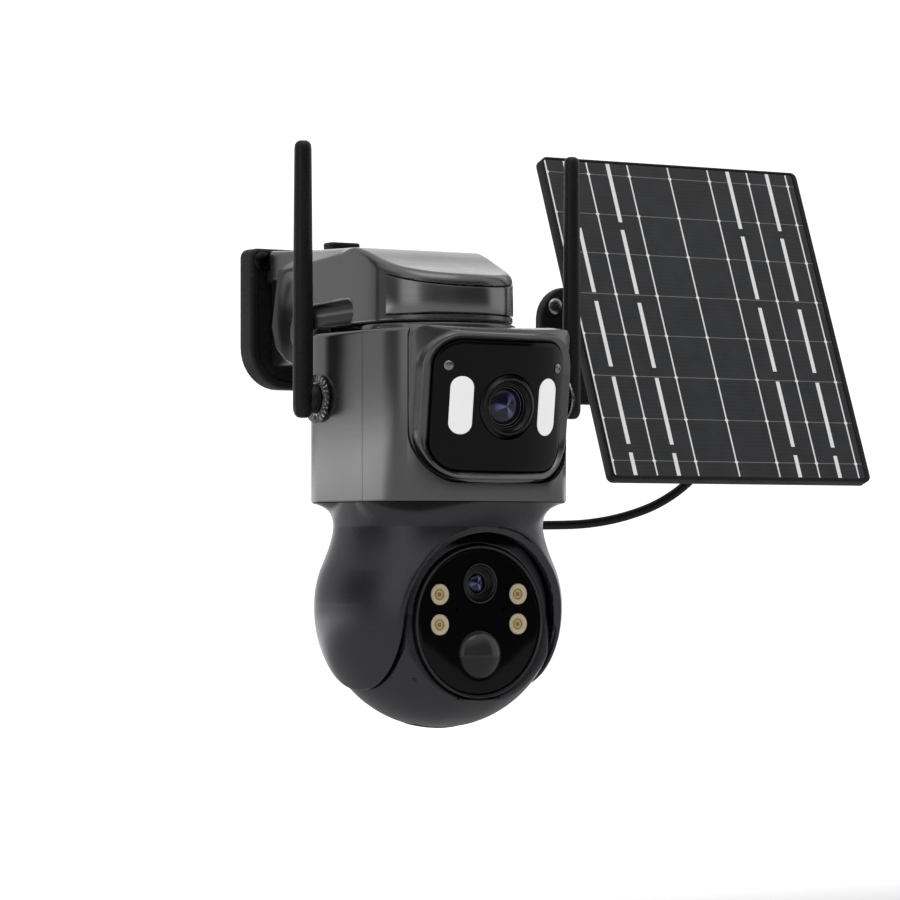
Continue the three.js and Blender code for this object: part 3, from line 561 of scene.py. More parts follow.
def coated_glass():
    """Violet-blue coating with painted reflections: lighter and darker wedges, as seen inside a camera's
    front element, and a painted highlight at the middle.
    The object's own origin is the middle of the glass, facing -Y."""
    paint = Paint("coated_lens")
    flat = paint.node("ShaderNodeMapping")
    flat.inputs["Rotation"].default_value = (math.pi / 2, 0, 0.6)
    paint.link(paint.place, flat.inputs["Vector"])
    sweep = paint.node("ShaderNodeTexGradient", gradient_type="RADIAL")
    paint.link(flat.outputs["Vector"], sweep.inputs["Vector"])
    painted_reflection_wedges = paint.node("ShaderNodeMath", operation="SINE")
    turns = paint.node("ShaderNodeMath", operation="MULTIPLY")
    paint.link(sweep.outputs["Fac"], turns.inputs[0])
    turns.inputs[1].default_value = 6 * math.pi
    paint.link(turns.outputs[0], painted_reflection_wedges.inputs[0])
    reach = paint.node("ShaderNodeVectorMath", operation="LENGTH")
    paint.link(paint.place, reach.inputs[0])
    core = paint.ramp(reach.outputs["Value"], 0.0062, 0.0022)
    # painted reflection: light and dark wedges stand in for reflections inside the lens
    dark, reflection_bright = (0.010, 0.008, 0.045, 1), (0.11, 0.10, 0.40, 1)
    tone = paint.mix(paint.ramp(painted_reflection_wedges.outputs[0], 0.1, 0.9), dark, reflection_bright)
    rim = paint.ramp(reach.outputs["Value"], 0.0045, 0.0064)
    tone = paint.mix(rim, tone, (0.012, 0.012, 0.05, 1))
    cloud = paint.noise(260.0, 2.0)
    # painted highlight: a pale violet glint where the bright wedges come near the middle
    painted_glint = paint.node("ShaderNodeMath", operation="MULTIPLY")
    paint.link(core, painted_glint.inputs[0])
    paint.link(paint.ramp(painted_reflection_wedges.outputs[0], 0.5, 1.0), painted_glint.inputs[1])
    tone = paint.mix(painted_glint.outputs[0], tone, (0.35, 0.34, 0.75, 1))
    paint.put(
        Base_Color=tone, Metallic=0.2, Roughness=paint.scaled(cloud, 0.04, 0.08),
        Coat_Weight=1.0, Coat_Roughness=0.02,
    )
    return paint


def lit_diffuser():
    """Milky strip lens over white lamps."""
    paint = Paint("milky_diffuser")
    cloud = paint.noise(150.0, 2.0)
    tone = paint.mix(paint.ramp(cloud, 0.3, 0.7), grey(0.92), grey(0.86, 1.02))
    paint.put(
        Base_Color=tone, Roughness=paint.scaled(cloud, 0.2, 0.32), Emission_Color=grey(1.0),
        Emission_Strength=0.55, Subsurface_Weight=0.2, Subsurface_Scale=0.002,
    )
    return paint


def frosted_dome():
    """Grey sensor dome, painted lighter on its upper half as painted light and darker on its lower half as
    painted shade.
    """
    paint = Paint("sensor_dome")
    split = paint.node("ShaderNodeSeparateXYZ")
    paint.link(paint.place, split.inputs[0])
    # painted light and shade: above this height the dome is painted lighter, below it darker, as light from
    # above would fall
    low = (BALL_Z - 20.0) * MM
    band = paint.ramp(split.outputs["Z"], low, low + 0.0012)
    cloud = paint.noise(700.0, 2.0)
    painted_shade_tone = paint.mix(cloud, grey(0.016, 1.1), grey(0.022, 1.1))
    painted_light_tone = paint.mix(cloud, grey(0.05, 1.1), grey(0.065, 1.1))
    paint.put(
        Base_Color=paint.mix(band, painted_shade_tone, painted_light_tone), Roughness=paint.scaled(cloud, 0.1, 0.16),
        Coat_Weight=0.5, Coat_Roughness=0.04,
    )
    return paint


def cream_lamp():
    paint = Paint("cream_lamp")
    cloud = paint.noise(900.0, 2.0)
    tone = paint.mix(cloud, (0.86, 0.72, 0.46, 1), (0.95, 0.86, 0.66, 1))
    paint.put(
        Base_Color=tone, Roughness=paint.scaled(cloud, 0.18, 0.3), Coat_Weight=0.5,
        Emission_Color=(1.0, 0.86, 0.6, 1.0), Emission_Strength=0.12,
    )
    return paint


def lamp_chip():
    paint = Paint("lamp_chip")
    cloud = paint.noise(2500.0, 2.0)
    tone = paint.mix(cloud, (0.62, 0.38, 0.07, 1), (0.85, 0.66, 0.25, 1))
    paint.put(Base_Color=tone, Metallic=0.6, Roughness=paint.scaled(cloud, 0.2, 0.4))
    return paint


def cell_glass():
    """Dark silicon under glass: crystal mottling and faint finger lines."""
    paint = Paint("solar_silicon")
    fingers = paint.node("ShaderNodeTexWave", bands_direction="Z", wave_profile="SIN")
    fingers.inputs["Scale"].default_value = 170.0
    paint.link(paint.place, fingers.inputs["Vector"])
    crystal = paint.noise(120.0, 3.0)
    dark, pale = (0.030, 0.032, 0.036, 1), (0.046, 0.048, 0.054, 1)
    tone = paint.mix(paint.ramp(crystal, 0.35, 0.65), dark, pale)
    share = paint.node("ShaderNodeMath", operation="MULTIPLY")
    paint.link(fingers.outputs["Fac"], share.inputs[0])
    share.inputs[1].default_value = 0.18
    tone = paint.mix(share.outputs[0], tone, (0.075, 0.077, 0.082, 1))
    smear = paint.noise(25.0, 3.0)
    paint.put(
        Base_Color=tone, Roughness=paint.scaled(smear, 0.2, 0.32), Coat_Weight=0.7,
        Coat_Roughness=0.1,
    )
    return paint


def printed_silver_painted_glow(name, tone):
    paint = Paint(name)
    cloud = paint.noise(1200.0, 2.0)
    # painted light: the printed lines glow faintly so that they read as bright as lit silver, though they are
    # no lamp
    paint.put(
        Base_Color=paint.mix(cloud, grey(tone), grey(tone * 0.86)),
        Roughness=paint.scaled(cloud, 0.35, 0.5),
        Emission_Color=grey(1.0),
        Emission_Strength=paint.scaled(cloud, 0.62 * tone**2, 0.5 * tone**2),
    )
    return paint


def circuit_board():
    paint = Paint("board_green")
    tracks = paint.node("ShaderNodeTexBrick")
    tracks.inputs["Scale"].default_value = 180.0
    tracks.inputs["Color1"].default_value = (0.015, 0.09, 0.035, 1)
    tracks.inputs["Color2"].default_value = (0.02, 0.12, 0.045, 1)
    tracks.inputs["Mortar"].default_value = (0.10, 0.16, 0.05, 1)
    paint.link(paint.place, tracks.inputs["Vector"])
    paint.put(
        Base_Color=tracks.outputs["Color"], Roughness=paint.scaled(paint.noise(300.0), 0.35, 0.55)
    )
    return paint


def battery_wrap():
    paint = Paint("battery_sleeve")
    cloud = paint.noise(90.0, 3.0)
    tone = paint.mix(cloud, (0.02, 0.07, 0.24, 1), (0.03, 0.11, 0.33, 1))
    paint.put(Base_Color=tone, Roughness=paint.scaled(cloud, 0.25, 0.4))
    paint.bump(paint.noise(150.0), 0.1, 0.0003)
    return paint


TRIM = brushed_metal()
STEEL = plated_steel()
DARK_STEEL = plated_steel("blackened_steel", 0.035)
RING_STEEL = plated_steel("lens_ring_steel", 0.22)
GLOSS = gloss_black()
LENS = coated_glass()
DIFFUSER = lit_diffuser()
DOME = frosted_dome()
LAMP = cream_lamp()
CHIP = lamp_chip()
CELLS = cell_glass()
# printed panel marks, each with a painted glow
SILVER_PAINTED_GLOW = printed_silver_painted_glow("printed_silver_painted_glow", 0.85)
GAP_LINE_PAINTED_GLOW = printed_silver_painted_glow("cell_gap_print_painted_glow", 0.3)
BOARD = circuit_board()
SLEEVE = battery_wrap()


def place(obj, body, slot, paint, *nodes):
    """Puts a finished piece on its body, painted with its paint, instead of its CAD nodes. The slot argument
    is not used.
    """
    obj.data.materials.clear()
    obj.data.materials.append(paint.material)
    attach(obj, body)
    if nodes:
        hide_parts(*nodes)
    return obj


def keep(node, paint):
    """A CAD node whose shape is already right: only its finish changes."""
    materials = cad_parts[node].data.materials
    materials.clear()
    materials.append(paint.material)


# ------------------------------------------------------------ cords

CABLE_RADIUS = 2.0
LONG_RUN = [
    (8, -27, -37.1), (8, -27, -44), (9, -25.5, -54), (14, -23, -65), (24, -21, -75),
    (38, -20, -82), (55, -21, -86), (75, -24, -88), (95, -28, -89), (112, -33, -89.2),
    (129, -38.5, -88.4), (144, -44, -85.4), (157.5, -50, -80), (168.5, -55.5, -72),
    (176.5, -61, -61.5), (181, -65.5, -49.5), (182, -69.5, -37), (179.5, -72.5, -25),
    (174, -74.3, -15.5), (166.5, -74.9, -10.6), (158.8, -75, -9.5),
]
SHORT_RUN = [
    (150.2, -75, -9.5), (144, -75, -9.5), (137, -75.2, -9.5), (130, -75.6, -9.6),
    (123.5, -76.4, -10.2), (118.5, -77.5, -11.9), (114.8, -79, -14.4), (112, -81, -17.4),
    (110.4, -83.4, -20.8), (109.9, -86, -24.6), (110.5, -88.6, -28.4), (112.4, -91, -32),
    (115.2, -93.1, -35.2), (119, -94.8, -37.7), (123.4, -95.8, -39.1), (128.2, -95.9, -39.3),
]


def smooth_path(points, per_span=6):
    """A centripetal Catmull-Rom curve through the points."""
    ends = [2 * np.array(points[0], float) - points[1], 2 * np.array(points[-1], float) - points[-2]]
    knots = np.array([ends[0], *points, ends[1]], float)
    path = []
    for i in range(1, len(knots) - 2):
        p = knots[i - 1:i + 3]
        t = np.concatenate([[0], np.cumsum(np.linalg.norm(np.diff(p, axis=0), axis=1) ** 0.5)])
        for s in np.linspace(t[1], t[2], per_span, endpoint=False):
            a = [
                (t[k + 1] - s) / (t[k + 1] - t[k]) * p[k]
                + (s - t[k]) / (t[k + 1] - t[k]) * p[k + 1]
                for k in range(3)
            ]
            b = [
                (t[k + 2] - s) / (t[k + 2] - t[k]) * a[k]
                + (s - t[k]) / (t[k + 2] - t[k]) * a[k + 1]
                for k in range(2)
            ]
            path.append((t[2] - s) / (t[2] - t[1]) * b[0] + (s - t[1]) / (t[2] - t[1]) * b[1])
    path.append(knots[-2])
    return np.array(path)


def tube(name, path, radius, sides=16):
    """A round tube with flat ends, its section carried along the path without twist."""
    ahead = np.gradient(path, axis=0)
    ahead /= np.linalg.norm(ahead, axis=1, keepdims=True)
    across = np.cross(ahead[0], (0.3, 0.5, 0.8))
    rings = []
    for centre, direction in zip(path, ahead, strict=True):
        across = across - direction * np.dot(across, direction)
        across /= np.linalg.norm(across)
        other = np.cross(direction, across)
        angles = np.linspace(0, 2 * math.pi, sides, endpoint=False)
        rings.append([centre + radius * (across * math.cos(t) + other * math.sin(t)) for t in angles])
    return stack(name, rings, sharp=60)


def lay_cable(name, node, points):
    path = smooth_path(points)
    cable = tube(name, path, CABLE_RADIUS)
    cable.data.materials.append(rubber.material)
    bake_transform(cable)
    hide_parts(node)
    return cable


lay_cable(
    "panel_cable_long", "cable_long_run", LONG_RUN,
)
lay_cable(
    "panel_cable_short", "cable_short_run", SHORT_RUN,
)


# ------------------------------------------------------------ screws


def phillips(name, radius, height, shank=1.6, length=6.0):
    """A pan-head cross-recess screw along +Z, its head standing on Z = 0."""
    crown = [(radius * math.cos(t), height * (0.3 + 0.7 * math.sin(t))) for t in np.linspace(0, 1.45, 8)]
    profile = [(0, -length), (shank, -length), (shank, 0), (radius * 0.96, 0), *crown, (0, height)]
    screw = lathe(name, profile, segments=40)
    for angle in (45, 135):
        arm, foot = radius * 0.56, height * 0.35
        wide, narrow = radius * 0.13, radius * 0.08
        tool = stack("recess", [
            level(square(arm * 0.7, narrow, 0.02, corner=1), foot),
            level(square(arm, wide, 0.02, corner=1), height + 1),
        ])
        moved(tool, turn(angle, "Z"))
        boolean(screw, tool)
    shade(screw)
    return screw


def add_screw(name, node, body, x, y, z, radius, height, angle=0.0, matrix=None, paint=None):
    screw = phillips(name, radius, height)
    moved(screw, at(x, y, z) @ turn(90, "X") @ turn(angle, "Z"))
    if matrix is not None:
        moved(screw, matrix)
    return place(screw, body, "steel", paint or STEEL, node)


# ------------------------------------------------------------ camera wall bracket

PLATE_OUTLINE = {"left": -28, "right": 28, "bottom": -31, "top": 29.5, "radii": [4, 4, 18, 18]}
PLATE_SCREWS = [(-23, 24), (23, 24), (0, -25.5)]
BUTTON = {"y": -38.4, "half_x": 7.5, "half_y": 4.0, "bottom": 22.8, "top": 30.9, "floor": 20.4}


def plate_rings(outline, thick, edge, rim, dish, corner=10):
    """Rings of a wall plate from its back to its dished front, with rounded edges."""
    rings = [facing(rounded(**outline, inset=0.6, corner=corner), 0.0)]
    rings.append(facing(rounded(**outline, inset=0.0, corner=corner), 0.6))
    for inset, drop in reversed(rounded_edge(edge)):
        rings.append(facing(rounded(**outline, inset=inset, corner=corner), thick - drop))
    rings.append(facing(rounded(**outline, inset=rim, corner=corner), thick))
    rings.append(facing(rounded(**outline, inset=rim + dish, corner=corner), thick - dish))
    return rings


place(
    stack("wall_plate_shell", plate_rings(PLATE_OUTLINE, 10, 1.6, 3.2, 0.7)),
    "wall_mounts", "black_plastic", plate_black, "wall_plate",
)
for index, (screw_x, screw_z) in enumerate(PLATE_SCREWS, 1):
    add_screw(
        f"wall_screw_head_{index}", f"wall_screw_{index}", "wall_mounts", screw_x, -9.6, screw_z,
        4.0, 2.6, 20 * index, paint=DARK_STEEL,
    )


def pivot_block_field(x, y, z):
    tongue = outline_distance(y, z, [
        (-10.3, -21.5), (-10.3, 18.6), (-30, 18.6), (-51, 4.6), (-51, -21.4),
    ])
    nose = np.hypot(y - PIVOT_Y, z - PIVOT_Z)
    middle = meet(union(tongue, nose - 13.0, 2.0), np.abs(x) - 18.3, 1.0)
    boss = meet(nose - 9.0, np.abs(x) - 21.4, 0.5)
    side = outline_distance(y, z, [
        (-10.3, 14), (-10.3, 28.4), (-43.5, 26.8), (-45.5, 25.2), (-45.5, 14),
    ])
    lip = meet(side, np.abs(x) - 21.4, 2.4)
    body = union(union(middle, lip, 1.5), boss, 0.8)
    pocket = box_distance(
        x, y, z, (-BUTTON["half_x"] - 0.5, BUTTON["y"] - BUTTON["half_y"] - 0.5, BUTTON["floor"]),
        (BUTTON["half_x"] + 0.5, BUTTON["y"] + BUTTON["half_y"] + 0.5, 40), 0.8,
    )
    body = less(body, pocket, 0.5)
    for screw_x, screw_z in PLATE_SCREWS:
        room = meet(np.hypot(x - screw_x, z - screw_z) - 5.2, -13.8 - y)
        body = less(body, room, 0.4)
    return body


place(
    skin("pivot_block_shell", pivot_block_field, (-23, -66, -24), (23, -9, 30), 0.8),
    "wall_mounts", "gunmetal", gunmetal, "pivot_block",
)

button_rings = [level(square(7.0, 3.5, 1.5), BUTTON["bottom"])]
for button_inset, button_drop in reversed(rounded_edge(1.1)):
    button_rings.append(level(square(7.5, 4.0, 2.0, button_inset), BUTTON["top"] - button_drop))
fold_button = moved(stack("fold_button_cap", button_rings), at(0, BUTTON["y"], 0))
place(fold_button, "lock_button", "black_plastic", black, "fold_lock_button")

CAP_FACE = [(4.0, 28.6), (4.4, 29.0), (7.0, 29.0), (7.7, 28.6), (8.0, 27.8), (8.0, 26.6)]
BOLT = [(0, -28.4), *[(r, -h) for r, h in CAP_FACE], (3.9, -26.6), (3.9, 26.0), (0, 26.0)]
CAP = [(0, 26.6), *reversed(CAP_FACE), (0, 28.4)]
for cap_name, cap_profile, cap_node in (
    ("hinge_bolt_head", BOLT, "hinge_bolt"), ("hinge_cap_disc", CAP, "hinge_cap"),
):
    cap = moved(lathe(cap_name, cap_profile, around="x", segments=56), at(0, PIVOT_Y, PIVOT_Z))
    place(cap, "wall_mounts", "gunmetal", slate, cap_node)


def ribbed_boot(name, collar, neck, tip, length, ribs):
    """A cable boot hanging from Z = 0: a round collar, then rings that shrink to the cable."""
    profile = [
        (0, 0), (collar - 0.4, 0), (collar, -0.5), (collar, -4.4), (collar - 0.5, -5.0), (neck, -5.2),
    ]
    for i in range(ribs):
        share, next_share = i / ribs, (i + 0.55) / ribs
        wide, narrow = neck + (tip - neck) * share, neck + (tip - neck) * next_share
        top = -5.4 - (length - 5.4) * share
        bottom = -5.4 - (length - 5.4) * next_share
        groove = narrow - 0.7
        profile += [(wide, top), (narrow, bottom), (groove, bottom - 0.15), (groove, bottom - 0.55)]
    profile += [(tip, -length), (0, -length)]
    return lathe(name, profile, segments=40)


place(
    moved(ribbed_boot("gland_boot", 6.0, 4.5, 2.8, 15.0, 5), at(8, -27, -21.8)),
    "wall_mounts", "rubber", rubber, "cable_gland",
)

# ------------------------------------------------------------ bracket arm and hub

ROOF = [
    (-150, 11.0), (-142, 11.6), (-136, 12.4), (-131, 13.5), (-123.3, 15.4), (-115.2, 18.1),
    (-106, 21.8), (-99, 24.0), (-90, 24.5), (-70, 25.4), (-46, 26.6), (-20, 27.6),
]
FLANK_TOP = [(-150, 40), (-104, 32), (-98, 24.6), (-87, 21.6), (-58, 19.4), (-40, 18.2), (-20, 17.0)]
HUB_RADIUS, HUB_BOTTOM = 30.7, -7.7
BAND_REACH = 76.0


def smooth_line(y, knots, spread=2.5):
    places, heights = zip(*knots, strict=True)
    offsets = (-spread, -spread / 2, 0, spread / 2, spread)
    return sum(np.interp(y + o, places, heights) for o in offsets) / len(offsets)


def band_top(degrees):
    """The trim band's upper edge rises towards its ends."""
    return 6.3 + 4.7 * (np.abs(degrees) / 73) ** 2.2


def arm_field(x, y, z):
    wide = np.abs(x)
    reach = np.hypot(x, y - AXIS_Y)
    flank = wide - (30.7 - 4.4 * ((y - AXIS_Y) / 99) ** 2)
    plan = np.where(y < AXIS_Y, reach - HUB_RADIUS, flank)
    roof = z - smooth_line(y, ROOF)
    slope = (z - smooth_line(y, FLANK_TOP) + flank) * 0.72
    corner = 0.9 + 3.2 * np.clip((-96 - y) / 22, 0, 1)
    top = meet(roof, slope, 1.0)
    body = meet(plan, top, corner)
    side = outline_distance(y, z, [
        (-31.6, 21.3), (-40.6, 25.6), (-46, 40), (-160, 40), (-160, HUB_BOTTOM), (-66, HUB_BOTTOM),
        (-62, -15), (-57, -21), (-51, -24), (-38.7, -20.5), (-29.1, -14.7), (-25, -5.3),
    ])
    body = meet(body, side, 1.0)
    inner = wide - 21.8
    bay = np.minimum(np.hypot(y - PIVOT_Y, z - PIVOT_Z) - 17.6, np.maximum(PIVOT_Y - y, z - 9.2))
    bay = np.minimum(bay, -46 - y)
    body = less(body, meet(bay, inner, 0.6), 0.8)
    scoop_y = np.clip(y, -91.5, -40)
    scoop = np.sqrt((wide - 31.0) ** 2 + (z + 3.0 + 0.03 * (y + 75)) ** 2 + (y - scoop_y) ** 2) - 5.2
    body = less(body, scoop, 0.7)
    dish = np.sqrt((wide - 34.5) ** 2 + ((y + 42.5) * 0.7) ** 2 + ((z + 1) * 0.42) ** 2) - 9.6
    body = less(body, dish, 1.4)
    seat = meet(np.hypot(y - PIVOT_Y, z - PIVOT_Z) - 8.7, 26.2 - wide, 0.2)
    body = less(body, seat, 0.4)
    pocket = meet(box_distance(x, y, z, (-20, -138, -20), (20, -72, 13), 13), z - 10, 0.5)
    body = less(body, pocket, 0.6)
    angle = np.degrees(np.arctan2(wide, AXIS_Y - y))
    groove = meet(29.2 - reach, np.maximum(-4.95 - z, z - band_top(angle) - 0.3))
    groove = meet(groove, (angle - BAND_REACH - 0.6) * 0.5)
    return less(body, groove)


place(
    skin("arm_shell", arm_field, (-32.4, -146.4, -25.6), (32.4, -23.6, 29.6), 0.8),
    "camera_body", "gunmetal", arm_coat_with_painted_shade, "arm_housing",
)


band_rings = []
for degrees in np.linspace(-BAND_REACH, BAND_REACH, 121):
    t = math.radians(degrees - 90)
    high = float(band_top(degrees))
    band_section = [
        (29.3, -4.6), (30.5, -4.6), (30.8, -4.4), (30.95, -3.9), (30.95, high - 0.7),
        (30.8, high - 0.2), (30.5, high), (29.3, high),
    ]
    band_rings.append([(r * math.cos(t), r * math.sin(t), h) for r, h in band_section])
band = moved(stack("hub_band", band_rings), at(0, AXIS_Y, 0))
place(band, "camera_body", "trim_band", TRIM, "hub_trim_band")
hub_ring = lathe("hub_skirt", [
    (10, -8.2), (31.0, -8.2), (31.7, -8.5), (32.0, -9.1), (32.0, -10.4), (31.7, -10.9), (31.2, -11.0),
    (10, -11.0),
], segments=128)
place(moved(hub_ring, at(0, AXIS_Y, 0)), "camera_body", "gunmetal", gunmetal, "hub_ring")

cover_outline = {"left": -19.7, "right": 19.7, "bottom": -137.7, "top": -72.3, "radii": [13.7] * 4}
cover_rings = [level(rounded(**cover_outline, inset=0.4), -7.7), level(rounded(**cover_outline), -7.3)]
cover_rings.append(level(rounded(**cover_outline), -5.3))
place(
    stack("arm_cover_plate", cover_rings), "camera_body", "black_plastic", plate_black,
    "arm_bottom_cover",
)

# ------------------------------------------------------------ upper housing

HOUSING = {"left": -43, "right": 43, "bottom": -159, "top": -69, "radii": [21.0] * 4}
HOUSING_TOP, HOUSING_FLOOR, WALL = -11.3, -81.0, 2.6
SEAM_Y = AXIS_Y - 10


def housing_ring(inset, height):
    return level(rounded(**HOUSING, inset=inset, corner=20, side=4), height)


def housing_shell(name):
    rings = []
    for inset, drop in rounded_edge(2.2, 6):
        rings.append(housing_ring(inset, HOUSING_TOP - drop))
    rings.append(housing_ring(0.0, HOUSING_FLOOR + 0.9))
    rings.append(housing_ring(0.25, HOUSING_FLOOR + 0.25))
    rings.append(housing_ring(0.9, HOUSING_FLOOR))
    rings.append(housing_ring(WALL, HOUSING_FLOOR))
    rings.append(housing_ring(WALL, HOUSING_TOP - WALL))
    return stack(name, rings)


def halved(obj, keep_front):
    """Cuts a shell at the seam and closes the cut with a flat face."""
    edit = bmesh.new()
    edit.from_mesh(obj.data)
    side = -1 if keep_front else 1
    cut = bmesh.ops.bisect_plane(
        edit, geom=edit.verts[:] + edit.edges[:] + edit.faces[:], dist=1e-7,
        plane_co=(0, (SEAM_Y + side * 0.15) * MM, 0), plane_no=(0, -side, 0), clear_outer=True,
    )
    rim = [e for e in cut["geom_cut"] if isinstance(e, bmesh.types.BMEdge)]
    bmesh.ops.contextual_create(edit, geom=rim)
    edit.to_mesh(obj.data)
    edit.free()
    return fix_normals(obj)


def window_frame():
    return at(0, WINDOW_Y, WINDOW_Z) @ turn(WINDOW_LEAN, "X")


def bent(obj):
    """Wraps a flat front piece round the window's upright cylinder."""
    for vertex in obj.data.vertices:
        x = min(abs(vertex.co.x) / MM, WINDOW_BEND * 0.9)
        vertex.co.y += (WINDOW_BEND - math.sqrt(WINDOW_BEND**2 - x * x)) * MM
    obj.data.update()
    return obj


def bezel_ring(half, up, down, top_radius, bottom_radius, depth, inset=0.0):
    radii = [top_radius, top_radius, bottom_radius, bottom_radius]
    return facing(rounded(-half, half, -down, up, radii, inset, 12, 24), depth)


# half width, up, down, upper corner radius, lower corner radius, depth
BEZEL_RINGS = [
    (38.2, 31.2, 30.8, 5, 19, -13.0), (38.2, 31.2, 30.8, 5, 19, -2.8),
    (38.1, 31.1, 30.7, 5, 18.9, -2.3), (37.7, 30.7, 30.3, 6, 18.6, -1.9),
    (36.7, 29.9, 29.6, 13, 17.8, -1.6), (36.4, 29.6, 29.4, 15, 17.6, -1.2),
    (36.2, 29.4, 29.3, 15.4, 17.4, 0.5), (35.9, 29.1, 29.1, 15.4, 17.2, 1.15),
    (35.4, 28.7, 28.7, 15.2, 16.8, 1.4), (34.6, 28.2, 28.3, 14.8, 16.2, 1.2),
    (34.2, 27.9, 28.0, 14.5, 15.8, 0.8), (32.3, 26.8, 26.9, 12.2, 12.8, -0.3),
    (31.8, 26.4, 26.5, 11.6, 11.8, -0.9), (31.8, 26.4, 26.5, 11.6, 11.8, -13.0),
]


def solid_bezel(name, grow):
    """The bezel's outside as a plain block, for cutting its seat in the housing."""
    rings = [bezel_ring(38.2 + grow, 31.2 + grow, 30.8 + grow, 5, 19, depth) for depth in (-13.4, 24)]
    return moved(bent(stack(name, rings)), window_frame())


front_shell = halved(housing_shell("front_shell"), True)
rear_shell = halved(housing_shell("rear_shell"), False)
boolean(front_shell, solid_bezel("seat", 0.3))
for half_shell, housing_node in ((front_shell, "front_housing"), (rear_shell, "rear_housing")):
    shade(half_shell, 28)
    place(half_shell, "camera_body", "gunmetal", gunmetal, housing_node)

bezel_rings = [bezel_ring(*numbers) for numbers in BEZEL_RINGS]
bezel = stack("window_bezel", bezel_rings, closed_ends=False, loop=True)
place(moved(bent(bezel), window_frame()), "camera_body", "gunmetal", gunmetal, "front_bezel")

COVE = [
    (52.8, -81.1), (50.6, -81.6), (48.6, -82.4), (46.9, -83.3), (45.6, -84.4), (44.6, -85.6),
    (43.9, -87.0), (43.5, -88.4), (43.25, -89.8), (43.2, -91.0),
]
NECK_ROOM = 43.06


def corner_coves(name):
    """Fills under the housing's corners, each curving in to the ball's neck."""
    half_x, half_y, bend_x, bend_y, bend_radius = 42.8, 44.8, 22, 24, 20.8
    turns = np.linspace(0, 2 * math.pi, 288, endpoint=False)
    outline = []
    for t in turns:
        c, s = abs(math.cos(t)), abs(math.sin(t))
        flat = min(half_x / max(c, 1e-9), half_y / max(s, 1e-9))
        along = bend_x * c + bend_y * s
        bend = along + math.sqrt(max(along**2 - (bend_x**2 + bend_y**2 - bend_radius**2), 0))
        outline.append(bend if flat * c > bend_x and flat * s > bend_y else flat)
    outline = sum(np.roll(outline, shift) for shift in range(-4, 5)) / 9
    outline = np.maximum(outline, NECK_ROOM + 0.04)
    rings = []
    for radius, height in COVE:
        around = NECK_ROOM + 0.03 + (outline - NECK_ROOM) * (radius - 43.2) / 9.6
        rings.append(level(np.c_[around * np.cos(turns), around * np.sin(turns)], height))
    inner = np.c_[NECK_ROOM * np.cos(turns), NECK_ROOM * np.sin(turns)]
    rings += [level(inner, height) for height in (-91.0, -81.1)]
    return moved(stack(name, rings, closed_ends=False, sharp=50, loop=True), at(0, AXIS_Y, 0))


floor_rings = [
    level(rounded(**HOUSING, inset=WALL + 0.3, corner=20), height)
    for height in (-81.25, HOUSING_FLOOR + 2.4)
]
floor_plate = stack("floor_plate", floor_rings)
spindle_tool = lathe("drill", [(0, -90), (17, -90), (17, -70), (0, -70)])
boolean(floor_plate, moved(spindle_tool, at(0, AXIS_Y, 0)))
shade(floor_plate)
place(
    joined("housing_floor", [floor_plate, corner_coves("coves")]), "camera_body", "slate", slate,
    "housing_base",
)
keep("main_circuit_board", BOARD)
keep("battery_cell", SLEEVE)
keep("pan_motor", STEEL)

# ------------------------------------------------------------ front window

PANE = (-31.4, 31.4, -26, 26, [11] * 4)
pane_rings = [facing(rounded(*PANE, inset, 12, 24), -2.6) for inset in (20, 12, 6, 0)]
for pane_inset, pane_drop in reversed(rounded_edge(0.5, 3)):
    pane_rings.append(facing(rounded(*PANE, pane_inset, 12, 24), -pane_drop))
for extra in np.linspace(2, 24.5, 12):
    pane_rings.append(facing(rounded(*PANE, extra, 12, 24), 0.0))
pane = bent(stack("window_pane", pane_rings))
lens_hole = lathe("drill", [(0, -20), (13.3, -20), (13.3, 20), (0, 20)], around="y", segments=96)
boolean(pane, lens_hole)
shade(pane, 40)
place(moved(pane, window_frame()), "camera_body", "black_acrylic", GLOSS, "front_window")

BAR_X, SCREW_X, SCREW_Z = 20.6, 26.3, 15.6
for bar_side, bar_name, bar_half in ((-1, "left", 4.55), (1, "right", 5.2)):
    bar_outline = {
        "left": -bar_half, "right": bar_half, "bottom": -11.6, "top": 11.6,
        "radii": [bar_half - 0.01] * 4,
    }
    rings = [facing(rounded(**bar_outline, corner=12), -1.0)]
    for bar_inset, bar_drop in reversed(rounded_edge(0.45, 3)):
        rings.append(facing(rounded(**bar_outline, inset=bar_inset, corner=12), 0.5 - bar_drop))
    bar = bent(moved(stack(f"strip_light_{bar_name}", rings), at(bar_side * BAR_X, 0, 0)))
    place(moved(bar, window_frame()), "camera_body", "diffuser", DIFFUSER, f"light_bar_{bar_name}")
    seat_turn = math.degrees(math.asin(SCREW_X / WINDOW_BEND)) * bar_side
    swing = window_frame() @ at(0, WINDOW_BEND, 0) @ turn(seat_turn, "Z")
    add_screw(
        f"pane_screw_{bar_name}", f"window_screw_{bar_name}", "camera_body", 0, -WINDOW_BEND + 0.1,
        SCREW_Z, 2.0, 1.0, 25 * bar_side, swing,
    )

main_barrel = lathe("main_barrel", [
    (0, -14), (10, -14), (10, -4), (13.0, -4), (13.0, -1.3), (12.8, -0.9), (12.2, -0.7), (11.8, -0.3),
    (11.4, 0.5), (11.0, 0.75), (10.6, 0.5), (10.3, -0.3), (9.8, -0.7), (9.4, -1.4), (9.0, -1.6),
    (8.8, -2.1), (8.5, -2.2), (8.4, -2.6), (8.3, -2.8), (8.2, -8), (0, -8),
], around="y", segments=96)
moved(main_barrel, turn(180, "Z"))
moved(main_barrel, window_frame())
place(main_barrel, "camera_body", "black_plastic", lens_black, "main_lens_barrel")

